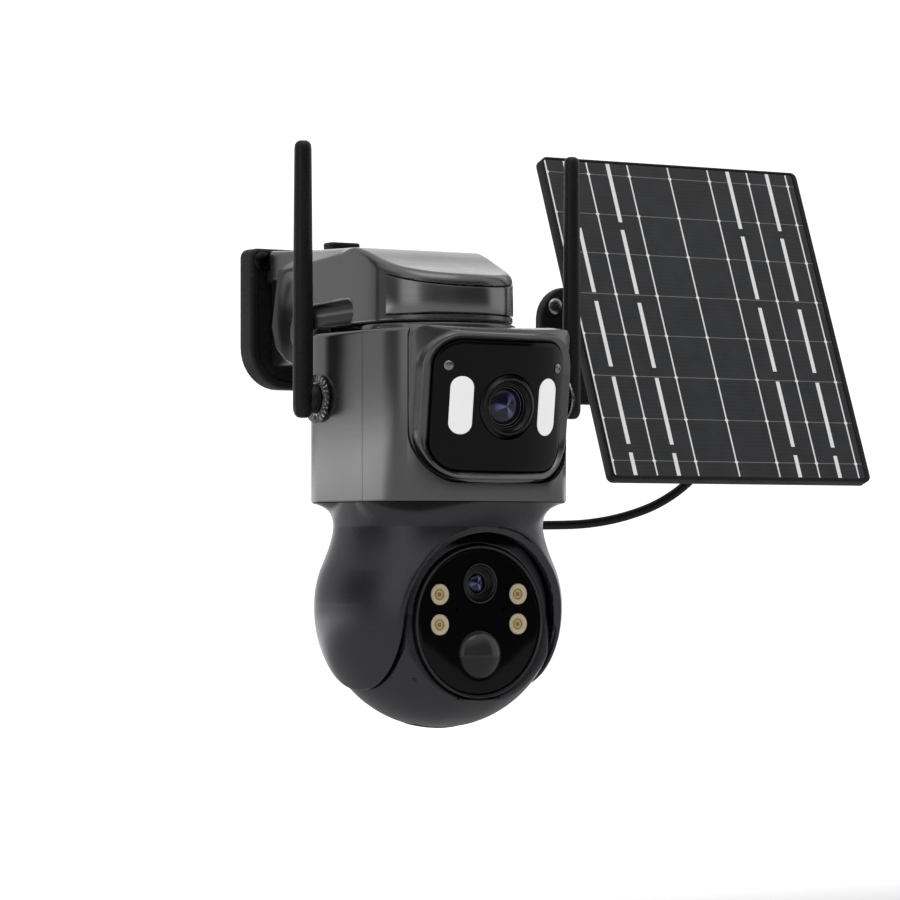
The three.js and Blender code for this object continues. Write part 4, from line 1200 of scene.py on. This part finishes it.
dome = [(8.05 * math.sin(t), -4.6 + 3.2 * math.cos(t)) for t in np.linspace(math.pi / 2, 0.05, 14)]
main_glass = lathe("main_glass", [(0, -7.4), (8.05, -7.4), *dome, (0, -1.4)], around="y", segments=64)
moved(main_glass, turn(180, "Z"))
main_glass.matrix_world = window_frame()
place(main_glass, "camera_body", "lens_glass", LENS, "main_lens_glass")


def thin_ring(name, radius, depth, thick, matrix, body, segments=72, paint=None):
    """A fine metal ring facing the front."""
    angles = np.linspace(0, 2 * math.pi, 10, endpoint=False)
    profile = [(radius + thick * math.cos(t), depth + thick * math.sin(t)) for t in angles]
    ring = lathe(name, profile, around="y", segments=segments)
    return place(moved(moved(ring, turn(180, "Z")), matrix), body, "steel", paint or STEEL)


thin_ring("main_lens_ring_outer", 8.4, -2.05, 0.12, window_frame(), "camera_body", paint=RING_STEEL)
thin_ring("main_lens_ring_inner", 7.6, -3.05, 0.2, window_frame(), "camera_body", paint=RING_STEEL)

# ------------------------------------------------------------ antennas


def star_washer(name):
    """A washer with radial teeth pressed in its outer face, standing on X from 43.3 to 45.2."""
    teeth, sides = 26, 8
    rings = []
    for radius, lift in (
        (5.0, 0.0), (6.4, 0.0), (6.9, 0.2), (7.3, 1.0), (9.5, 1.0), (9.9, 0.5), (10.0, -0.2),
        (9.7, -1.4), (5.0, -1.4),
    ):
        ring = []
        for i in range(teeth * sides):
            share = (i % sides) / sides
            ridge = max(0.0, math.sin(2 * math.pi * share)) if lift > 0 else 0.0
            t = 2 * math.pi * i / (teeth * sides)
            x = 44.7 + min(lift, 0.0) + 0.55 * lift * (2 * ridge - 1)
            ring.append((x, radius * math.cos(t), radius * math.sin(t)))
        rings.append(ring)
    return stack(name, rings, closed_ends=False, sharp=40, loop=True)


def antenna_mount(name):
    collar = lathe("collar", [
        (0, 38), (5.2, 38), (5.2, 44.4), (6.3, 44.6), (6.5, 44.9), (6.5, 45.2), (0, 45.2),
    ], around="x", segments=56)
    return joined(name, [star_washer("washer"), collar])


def antenna_rod(name, stretch, thick):
    sides = 40
    angles = np.linspace(0, 2 * math.pi, sides, endpoint=False)
    levels = [
        (-8.0, 0.8), (-7.9, 1.7), (-7.4, 2.7), (-6.4, 3.5), (-5.0, 4.0), (-3.5, 4.1), (30, 4.1),
        (60, 3.85), (99.5, 3.5), (101.3, 3.3), (102.4, 2.6), (102.9, 1.6), (103.0, 0.7),
    ]
    rings = []
    for height, radius in levels:
        radius, height = radius * thick, height * (stretch if height > 0 else 1)
        rings.append([
            (ANTENNA_X + radius * math.cos(t), radius * math.sin(t), height) for t in angles
        ])
    stick = stack("stick", rings)
    hub = lathe("hub", [
        (0, 45.4), (5.7, 45.4), (6.1, 45.7), (6.1, 47.4), (5.8, 48.3), (4.8, 49.2), (0, 49.6),
    ], around="x", segments=48)
    return joined(name, [stick, hub])


for antenna_name, turn_z, body_name, stretch, thick in (
    ("left", 180, "left_antenna", 1.026, 1.02), ("right", 0, "right_antenna", 0.976, 0.9),
):
    antenna_place = at(0, AXIS_Y, ANTENNA_Z) @ turn(turn_z, "Z") @ at(0, -ANTENNA_AHEAD, 0)
    mount = antenna_mount(f"antenna_collar_{antenna_name}")
    shade(mount)
    place(
        moved(mount, antenna_place), "camera_body", "steel", STEEL,
        f"antenna_mount_{antenna_name}",
    )
    rod = antenna_rod(f"antenna_rod_{antenna_name}", stretch, thick)
    shade(rod)
    place(moved(rod, antenna_place), body_name, "black_plastic", black, f"antenna_{antenna_name}")

# ------------------------------------------------------------ pan yoke

YOKE_SIDE = [
    (-126, 51.0), (-121, 51.0), (-116.8, 50.6), (-112.7, 49.8), (-108.6, 48.6), (-104.5, 46.9),
    (-100.4, 45.3), (-96.2, 44.0), (-92.5, 43.2), (-89.5, 43.0), (-84, 43.0), (-80, 43.0),
]


def ball_room(back, up, full, slim):
    """Radius that leaves out the ball's unused upper front, so that the shell is thick there."""
    share = np.clip((-back - 2) / 8, 0, 1) * np.clip((up + 9) / 8, 0, 1)
    return full - (full - slim) * share


def lip(centre, width):
    """Half width of the opening: its edge stands square to the ball's surface."""
    return width - 0.75 * np.clip(51 - centre, 0, 3)


def yoke_field(x, y, z):
    back, up = y - AXIS_Y, z - BALL_Z
    reach = np.hypot(x, back)
    centre = np.sqrt(reach**2 + up**2)
    body = np.where(up > 0, (reach - smooth_line(z, YOKE_SIDE, 1.2)) * 0.95, centre - 51.0)
    body = meet(body, z + 81.6, 0.5)
    body = union(body, meet(reach - 16.5, z + 73.7, 0.4))
    wide = np.abs(x)
    room = lip(centre, 38.4)
    cavity = meet(meet(centre - ball_room(back, up, 49.3, 45.6), wide - room, 0.6), up - 40.6, 0.8)
    arch = (np.where(up > -5, np.hypot(wide, up + 5), wide) - room) * 0.8
    mouth = meet(arch, back)
    belly = np.maximum(np.maximum((wide - room) * 0.8, up + 22), -1 - back)
    body = less(body, cavity, 0.5)
    body = less(body, np.minimum(mouth, belly), 0.9)
    ear = meet(np.hypot(back, up) - 21, wide - 44)
    body = less(body, ear)
    return less(body, meet(reach - 6, 30 - up))


place(
    skin("yoke_shell_skin", yoke_field, (-52.2, -166.2, -176.4), (52.2, -61.8, -72.8), 0.85),
    "pan_yoke", "slate", slate, "yoke_shell",
)
keep("pan_ring_gear", plate_black)
keep("ear_cover_left", plate_black)
keep("ear_cover_right", plate_black)
keep("tilt_motor", STEEL)

# ------------------------------------------------------------ tilting ball head

FACE_Y, FACE_Z = AXIS_Y - 30.5, BALL_Z - 5.0


def head_field(x, y, z):
    back, up = y - AXIS_Y, z - BALL_Z
    wide = np.abs(x)
    side = np.hypot(back, up)
    centre = np.sqrt(wide**2 + side**2)
    angle = np.degrees(np.arctan2(up, back))
    lower = np.clip((-40 - angle) / 5, 0, 1) * (angle > -178)
    lower = np.where(up < 0, lower, 0)
    body = meet(side - (40.2 + 8.7 * lower * lower * (3 - 2 * lower)), (wide - lip(centre, 37.85)) * 0.8, 0.8)
    body = meet(body, centre - 48.95 + 4 * np.clip((up + 19) / 17, 0, 1), 0.9)
    body = less(body, np.maximum(back + 30.5, -36.1 - up), 0.9)
    face = np.hypot(wide, up + 5)
    body = less(body, meet(face - 31.5, back + 28.1), 0.8)
    body = less(body, meet(face - 29.3, back + 25.5))
    body = less(body, meet(face - 24, back - 12))
    body = less(body, side - 5.3)
    card = box_distance(x, back, up, (-12.8, -3.3, -60), (12.8, 9.3, -46.2), 0.5)
    body = less(body, card, 0.3)
    ear = np.sqrt((x + 29.0) ** 2 + (back + 27.8) ** 2 + (up + 28.3) ** 2) - 0.95
    return less(body, ear, 0.2)


place(
    skin("ball_skin", head_field, (-39.2, -165, -174.8), (39.2, -72.4, -83.0), 0.85),
    "ball_head", "slate", slate, "head_shell",
)


def in_face(obj, x=0.0, z=0.0):
    """Turns a piece lathed round +Y to face the front and puts it on the ball's face."""
    return moved(obj, at(x, FACE_Y, FACE_Z + z) @ turn(180, "Z"))


rim = lathe("face_rim", [
    (29.6, -1.9), (31.0, -1.9), (31.2, -1.6), (31.2, 0.3), (31.0, 1.0), (30.6, 1.35), (30.1, 1.3),
    (29.8, 0.95), (29.6, 0.4),
], around="y", segments=120)
place(in_face(rim), "ball_head", "slate", slate, "head_rim")

ZOOM_Z, SENSOR_Z = 15.6, -13.4
LAMPS = [(-19.0, 11.2), (-19.0, -1.0), (19.0, 11.2), (19.0, -1.0)]


def drill(obj, x, z, radius, foot=-9.0, sides=64):
    bit = [(0, foot), (radius, foot), (radius, 9), (0, 9)]
    tool = lathe("drill", bit, around="y", segments=sides)
    return boolean(obj, in_face(tool, x, z))


disc = in_face(lathe("face_glass", [
    (0, -2.5), (28.8, -2.5), (29.2, -2.1), (29.3, -0.1), (29.15, 0.2), (28.8, 0.38), (28.3, 0.42),
    (20, 0.42), (10, 0.42), (0, 0.42),
], around="y", segments=120))
drill(disc, 0, ZOOM_Z, 8.7)
drill(disc, 0, SENSOR_Z, 10.3)
for lamp_x, lamp_z in LAMPS:
    drill(disc, lamp_x, lamp_z, 4.5, sides=40)
for hole_x in (-11.2, 11.2):
    drill(disc, hole_x, 5.0, 0.75, -0.6, 24)
shade(disc)
place(disc, "ball_head", "black_acrylic", GLOSS, "head_window")

zoom_barrel = in_face(lathe("zoom_barrel", [
    (0, -15.8), (8.3, -15.8), (8.4, -15), (8.4, 0.7), (8.25, 1.0), (7.95, 1.1), (7.6, 1.0),
    (7.3, 0.5), (6.9, 0.1), (6.4, 0.0), (6.1, -0.5), (5.5, -0.7), (5.2, -1.1), (4.6, -1.3),
    (4.3, -1.7), (4.0, -1.8), (3.95, -5), (0, -5),
], around="y", segments=72), 0, ZOOM_Z)
place(zoom_barrel, "ball_head", "black_plastic", lens_black, "zoom_lens_barrel")
zoom_dome = [(3.75 * math.sin(t), -2.7 + 1.8 * math.cos(t)) for t in np.linspace(math.pi / 2, 0.06, 10)]
zoom_glass = lathe("zoom_glass", [(0, -4.6), (3.75, -4.6), *zoom_dome, (0, -0.9)], around="y")
zoom_place = at(0, FACE_Y, FACE_Z + ZOOM_Z)
moved(zoom_glass, turn(180, "Z"))
zoom_glass.matrix_world = zoom_place
place(zoom_glass, "ball_head", "lens_glass", LENS, "zoom_lens_glass")
thin_ring("zoom_ring_outer", 7.85, 1.0, 0.12, zoom_place, "ball_head", 64, RING_STEEL)
thin_ring("zoom_ring_inner", 4.35, -1.6, 0.12, zoom_place, "ball_head", 64, RING_STEEL)

for index, (lamp_x, lamp_z) in enumerate(LAMPS, 1):
    bowl = in_face(lathe("bowl", [
        (0, -4.8), (4.0, -4.8), (4.2, -4.4), (4.2, 0.3), (4.0, 0.6), (3.7, 0.66), (3.4, 0.5),
        (2.5, -0.15), (1.6, -0.35), (0, -0.4),
    ], around="y", segments=44), lamp_x, lamp_z)
    bowl.name = f"lamp_bowl_{index}"
    place(bowl, "ball_head", "lamp", LAMP, f"face_lamp_{index}")
    lamp_place = at(lamp_x, FACE_Y, FACE_Z + lamp_z)
    thin_ring(f"lamp_ring_{index}", 1.95, -0.15, 0.32, lamp_place, "ball_head", 32, CHIP)
    chip_rings = [facing(square(0.85, 0.85, 0.2, 0), -0.5), facing(square(0.85, 0.85, 0.2, 0), -0.12)]
    chip_rings.append(facing(square(0.85, 0.85, 0.2, 0.12), 0.02))
    chip = moved(stack(f"lamp_chip_{index}", chip_rings), lamp_place)
    place(chip, "ball_head", "lamp", CHIP)

dome_side = [(10 * math.cos(t), 5.2 * math.sin(t)) for t in np.linspace(0, math.pi / 2, 20)[:-1]]
sensor = lathe("motion_dome", [(0, -5.8), (10, -5.8), *dome_side, (0, 5.2)], around="y")
in_face(sensor, 0, SENSOR_Z)
place(sensor, "ball_head", "sensor_dome", DOME, "motion_sensor_dome")
keep("head_circuit_board", BOARD)


def card_field(x, y, z):
    back, up = y - AXIS_Y, z - BALL_Z
    lid = box_distance(x, back, up, (-12.4, -2.9, -60), (12.4, 8.9, -46.65), 0.4)
    return meet(lid, np.sqrt(x**2 + back**2 + up**2) - 49.1, 0.6)


place(
    skin("card_lid", card_field, (-13.2, -118, -174.4), (13.2, -104.4, -170.2), 0.45),
    "ball_head", "rubber", rubber, "card_slot_cover",
)

# ------------------------------------------------------------ solar panel

PANEL_PLACE = at(PANEL_X, PANEL_Y, PANEL_Z) @ turn(-PANEL_LEAN, "X")
PANEL_OUTLINE = {"left": -69.75, "right": 69.75, "bottom": -75.3, "top": 75.3, "radii": [3.0] * 4}
GLASS_OUTLINE = {"left": -69.0, "right": 67.1, "bottom": -74.2, "top": 74.2, "radii": [1.8] * 4}

tray_rings = [facing(rounded(**PANEL_OUTLINE, inset=0.8), -3.0)]
tray_rings.append(facing(rounded(**PANEL_OUTLINE, inset=0.25), -2.75))
tray_rings.append(facing(rounded(**PANEL_OUTLINE), -2.2))
for tray_inset, tray_drop in reversed(rounded_edge(0.7, 4)):
    tray_rings.append(facing(rounded(**PANEL_OUTLINE, inset=tray_inset), 3.0 - tray_drop))
tray_rings.append(facing(rounded(**GLASS_OUTLINE, inset=-0.1), 3.0))
tray_rings.append(facing(rounded(**GLASS_OUTLINE), 2.9))
tray_rings.append(facing(rounded(**GLASS_OUTLINE), 1.6))
tray = moved(stack("panel_frame", tray_rings), PANEL_PLACE)
place(tray, "solar_panel", "black_plastic", plate_black, "panel_tray")

glass_rings = [facing(rounded(**GLASS_OUTLINE, inset=0.15), depth) for depth in (1.7, 2.6)]
glass_rings.append(facing(rounded(**GLASS_OUTLINE, inset=0.35), 2.75))
cells = stack("panel_glass", glass_rings)
cells.matrix_world = PANEL_PLACE
place(cells, "solar_panel", "solar_cells", CELLS, "panel_cells")


def printed(name, boxes, depth, paint):
    """Thin printed marks on the panel's front: (x, z, half width, half height, diamond)."""
    points, faces = [], []
    for x, z, half_u, half_v, diamond in boxes:
        corners = [(-half_u, -half_v), (half_u, -half_v), (half_u, half_v), (-half_u, half_v)]
        if diamond:
            corners = [(0, -half_v), (half_u, 0), (0, half_v), (-half_u, 0)]
        first = len(points)
        for y in (-depth[0], -depth[1]):
            points += [(x + u, y, z + v) for u, v in corners]
        faces += [(first + 3, first + 2, first + 1, first), tuple(range(first + 4, first + 8))]
        for i in range(4):
            j = (i + 1) % 4
            faces.append((first + i, first + j, first + 4 + j, first + 4 + i))
    obj = fix_normals(new_piece(name, points, faces))
    return place(moved(obj, PANEL_PLACE), "solar_panel", "solar_cells", paint)


BUSBARS = [-68.4 + 21.93 * i for i in range(7)]
DASHES = [-57.9, -35.1, 30.5, 52.6]
DASH_ROWS = [(73.6, 45.5), (41.75, 11.25), (7.1, -23.5), (-28.25, -59.25), (-63.25, -73.6)]
CELL_ROWS = [68.1, 48.9, 30.1, 10.75, -8.25, -27.75, -47.4, -66.9]

upright = [(x, 0.0, 0.36, 73.6, False) for x in BUSBARS if x < 66.5]
upright += [
    (x, (top + bottom) / 2, 1.0, (top - bottom) / 2, False)
    for x in DASHES for top, bottom in DASH_ROWS
]
printed("panel_busbars", upright, (2.6, 2.79), SILVER_PAINTED_GLOW)
gaps = [(-1.0, z, 67.6, 0.16, False) for z in CELL_ROWS]
printed("panel_cell_gaps", gaps, (2.6, 2.77), GAP_LINE_PAINTED_GLOW)
printed(
    "panel_diamonds", [(x, z, 1.0, 1.2, True) for x in BUSBARS if x < 66.5 for z in CELL_ROWS],
    (2.6, 2.81), SILVER_PAINTED_GLOW,
)

# ------------------------------------------------------------ solar panel bracket


def panel_base_field(x, y, z):
    x = x - PANEL_X
    wide = np.abs(x)
    du = np.maximum(wide - 13, 0)
    dv = np.maximum(np.abs(z + 7.5) - 11.5, 0)
    foot = meet(np.hypot(du, dv) - 15, -5 - y, 1.2)
    foot = meet(foot, y + 0.02, 0.5)
    along = np.clip((-5 - y) / 12, 0, 1)
    cone = meet(np.hypot(x, z - TILT_Z) - (14 - 5 * along), -17 - y, 0.8)
    stem = box_distance(x, y, z, (-7, SWIVEL_Y - 2, TILT_Z - 9), (7, -3, TILT_Z + 9), 1.5)
    lobe = meet(np.hypot(x, y - SWIVEL_Y) - 8, np.abs(z - TILT_Z) - 9, 1.2)
    body = union(union(foot, np.maximum(cone, y), 3.0), union(np.maximum(stem, y), lobe, 2.0), 2.5)
    fork = meet(np.abs(z - TILT_Z) - 4.8, y - SWIVEL_Y - 8.6, 0.8)
    body = less(body, fork, 0.5)
    body = less(body, np.hypot(x, y - SWIVEL_Y) - 3.3)
    for screw_x in (-21, 21):
        for screw_z in (-25, 10):
            body = less(body, np.hypot(x - screw_x, z - screw_z) - 2.4)
    return np.maximum(body, y)


place(
    skin("panel_foot", panel_base_field, (125.2, -70.4, -35.4), (183.8, 1.0, 20.4), 0.85),
    "wall_mounts", "black_plastic", plate_black, "panel_wall_base",
)
for index, (screw_x, screw_z) in enumerate([(-21, -25), (-21, 10), (21, -25), (21, 10)], 1):
    add_screw(
        f"panel_foot_screw_{index}", f"panel_base_screw_{index}", "wall_mounts", PANEL_X + screw_x,
        -5.3, screw_z, 3.8, 2.2, 33 * index,
    )


def knuckle_field(x, y, z):
    x = x - PANEL_X
    up = z - TILT_Z
    pin = np.hypot(x, y - SWIVEL_Y)
    eye = meet(pin - 8, np.abs(up) - 4.5, 0.8)
    neck = box_distance(x, y, up, (-5, TILT_Y, -4.5), (5, SWIVEL_Y, 4.5), 1.0)
    barrel = meet(np.hypot(y - TILT_Y, up) - 6, np.abs(x) - 6.5, 0.8)
    body = union(union(eye, neck, 1.0), barrel, 1.5)
    trunnion = meet(np.hypot(y - TILT_Y, up) - 3, np.abs(x) - 15, 0.5)
    kingpin = meet(pin - 3, np.abs(up) - 10, 0.5)
    body = union(union(body, trunnion, 0.3), kingpin, 0.3)
    clip = box_distance(x, y, z, (-4, -78.2, -12.7), (4, -71.8, -4.0), 1.0)
    body = union(body, clip, 0.8)
    return less(body, np.hypot(y + 75, z + 9.5) - 2.2, 0.3)


place(
    skin("panel_elbow", knuckle_field, (138.4, -81.4, -14.2), (170.6, -51.6, 12.4), 0.7),
    "panel_swivel", "black_plastic", black, "panel_knuckle",
)

PIN_Y, PIN_Z = 14.24, 7.53


def bracket_field(x, y, z):
    wide = np.abs(x)
    backing = box_distance(x, y, z, (-18, 3.3, PIN_Z - 17), (18, 6.3, PIN_Z + 17), 1.0)
    lug = outline_distance(y, z, [
        (4, PIN_Z - 8.6), (4, PIN_Z + 8.6), (PIN_Y, PIN_Z + 7), (PIN_Y, PIN_Z - 7),
    ])
    lug = np.minimum(lug, np.hypot(y - PIN_Y, z - PIN_Z) - 7)
    lug = meet(lug, np.abs(wide - 8.75) - 1.75, 0.6)
    body = union(backing, lug, 1.2)
    return less(body, np.hypot(y - PIN_Y, z - PIN_Z) - 3.2)


place(
    moved(skin("panel_lugs", bracket_field, (-19.2, 2.4, -11), (19.2, 22.4, 26), 0.7), PANEL_PLACE),
    "solar_panel", "black_plastic", black, "panel_bracket",
)

box_outline = {"left": -17, "right": 17, "bottom": -50, "top": -26, "radii": [3.0] * 4}
box_rings = [facing(rounded(**box_outline), -3.3)]
for box_inset, box_drop in reversed(rounded_edge(1.4, 5)):
    box_rings.append(facing(rounded(**box_outline, inset=box_inset), -12.3 + box_drop))
box_rings.append(facing(rounded(**box_outline, inset=3.2), -12.3))
box_rings.append(facing(rounded(**box_outline, inset=3.6), -11.9))
junction_shell = stack("shell", box_rings)
nozzle = lathe("nozzle", [
    (0, -26), (2.4, -26), (2.6, -25.7), (2.6, -23.6), (2.2, -23.4), (2.2, -22.6), (2.6, -22.4),
    (2.6, -20.6), (2.2, -20.4), (2.2, -19.6), (2.6, -19.4), (3.2, -17.6), (3.2, -15.8), (0, -15.8),
], around="x", segments=36)
junction = joined("junction_case", [junction_shell, moved(nozzle, at(0, 8.3, -38))])
shade(junction)
place(moved(junction, PANEL_PLACE), "solar_panel", "black_plastic", plate_black, "junction_box")

# ------------------------------------------------------------ floor and light

FLOOR_Z = -0.42


def stage_piece(name, points, faces, tone, rough):
    """A plain pale surface behind or under the object."""
    paint = Paint(name)
    cloud = paint.noise(3.0, 2.0)
    split = paint.node("ShaderNodeSeparateXYZ")
    paint.link(paint.place, split.inputs[0])
    paint.put(
        Base_Color=paint.mix(cloud, grey(tone), grey(tone * 0.985)), Roughness=rough,
        Emission_Color=grey(1.0), Emission_Strength=paint.ramp(split.outputs["Y"], 0.9, 1.8),
    )
    mesh = bpy.data.meshes.new(name)
    mesh.from_pydata(points, [], faces)
    obj = bpy.data.objects.new(name, mesh)
    SCENE.collection.objects.link(obj)
    mesh.materials.append(paint.material)
    return obj


stage_piece(
    "floor", [(x, y, FLOOR_Z) for x, y in ((-6, -6), (6, -6), (6, 6), (-6, 6))], [(0, 1, 2, 3)],
    0.62, 0.9,
)

SKY = bpy.data.worlds.new("studio")
SCENE.world = SKY
SKY.use_nodes = True
sky_nodes, sky_links = SKY.node_tree.nodes, SKY.node_tree.links


def sky_node(kind, *sources, **settings):
    """A node of the sky whose first inputs come from the sources."""
    made = sky_nodes.new(kind)
    for key, value in settings.items():
        setattr(made, key, value)
    for source, socket in zip(sources, made.inputs, strict=False):
        sky_links.new(source, socket)
    return made


def sky_range(source, low, high):
    made = sky_node("ShaderNodeMapRange", source)
    made.inputs["From Min"].default_value = low
    made.inputs["From Max"].default_value = high
    return made.outputs[0]


sky_ray = sky_node("ShaderNodeTexCoord").outputs["Generated"]
sky_turn = sky_node("ShaderNodeSeparateXYZ", sky_ray)
sky_front = sky_node("ShaderNodeMath", sky_turn.outputs["Y"], operation="MULTIPLY")
sky_front.inputs[1].default_value = -1.0
sky_angle = sky_node(
    "ShaderNodeMath", sky_turn.outputs["X"], sky_front.outputs[0], operation="ARCTAN2"
)
sky_ramp = sky_node("ShaderNodeValToRGB", sky_range(sky_angle.outputs[0], -math.pi, math.pi))
# degrees to the right of straight ahead of the lens, and the brightness there
SKY_BANDS = [
    (-180, 0.4), (-150, 0.42), (-141, 0.38), (-128, 0.12), (-97, 0.07), (-84, 0.5), (-66, 0.55),
    (-56, 0.16), (-40, 0.08), (-8, 0.08), (0, 0.05), (49, 0.05), (58, 0.42), (80, 0.42),
    (105, 0.5), (128, 1.05), (133, 1.2), (162, 1.2), (170, 0.8), (180, 0.4),
]
stops = sky_ramp.color_ramp.elements
while len(stops) < len(SKY_BANDS):
    stops.new(0.5)
for stop, (degrees, tone) in zip(stops, SKY_BANDS, strict=True):
    stop.position = (degrees + 180) / 360
    stop.color = (tone, tone, tone, 1.0)
sky_high = sky_range(sky_turn.outputs["Z"], 0.35, 0.8)
sky_mix = sky_node("ShaderNodeMix", sky_high, data_type="RGBA")
sky_links.new(sky_ramp.outputs["Color"], sky_mix.inputs[6])
sky_mix.inputs[7].default_value = (0.5, 0.5, 0.5, 1.0)
sky_links.new(sky_mix.outputs[2], sky_nodes["Background"].inputs["Color"])
sky_nodes["Background"].inputs["Strength"].default_value = 1.0


def soft_light(name, location, target, size, power):
    lamp = bpy.data.lights.new(name, "AREA")
    lamp.shape = "RECTANGLE"
    lamp.size, lamp.size_y = size
    lamp.energy = power
    obj = bpy.data.objects.new(name, lamp)
    SCENE.collection.objects.link(obj)
    obj.location = location
    aim = Vector(target) - Vector(location)
    obj.rotation_euler = aim.to_track_quat("-Z", "Y").to_euler()
    return obj


soft_light("light_over", (-0.2, -0.5, 1.7), (0.05, -0.1, 0), (1.2, 1.2), 3.0)
SCENE.view_settings.view_transform = "Standard"
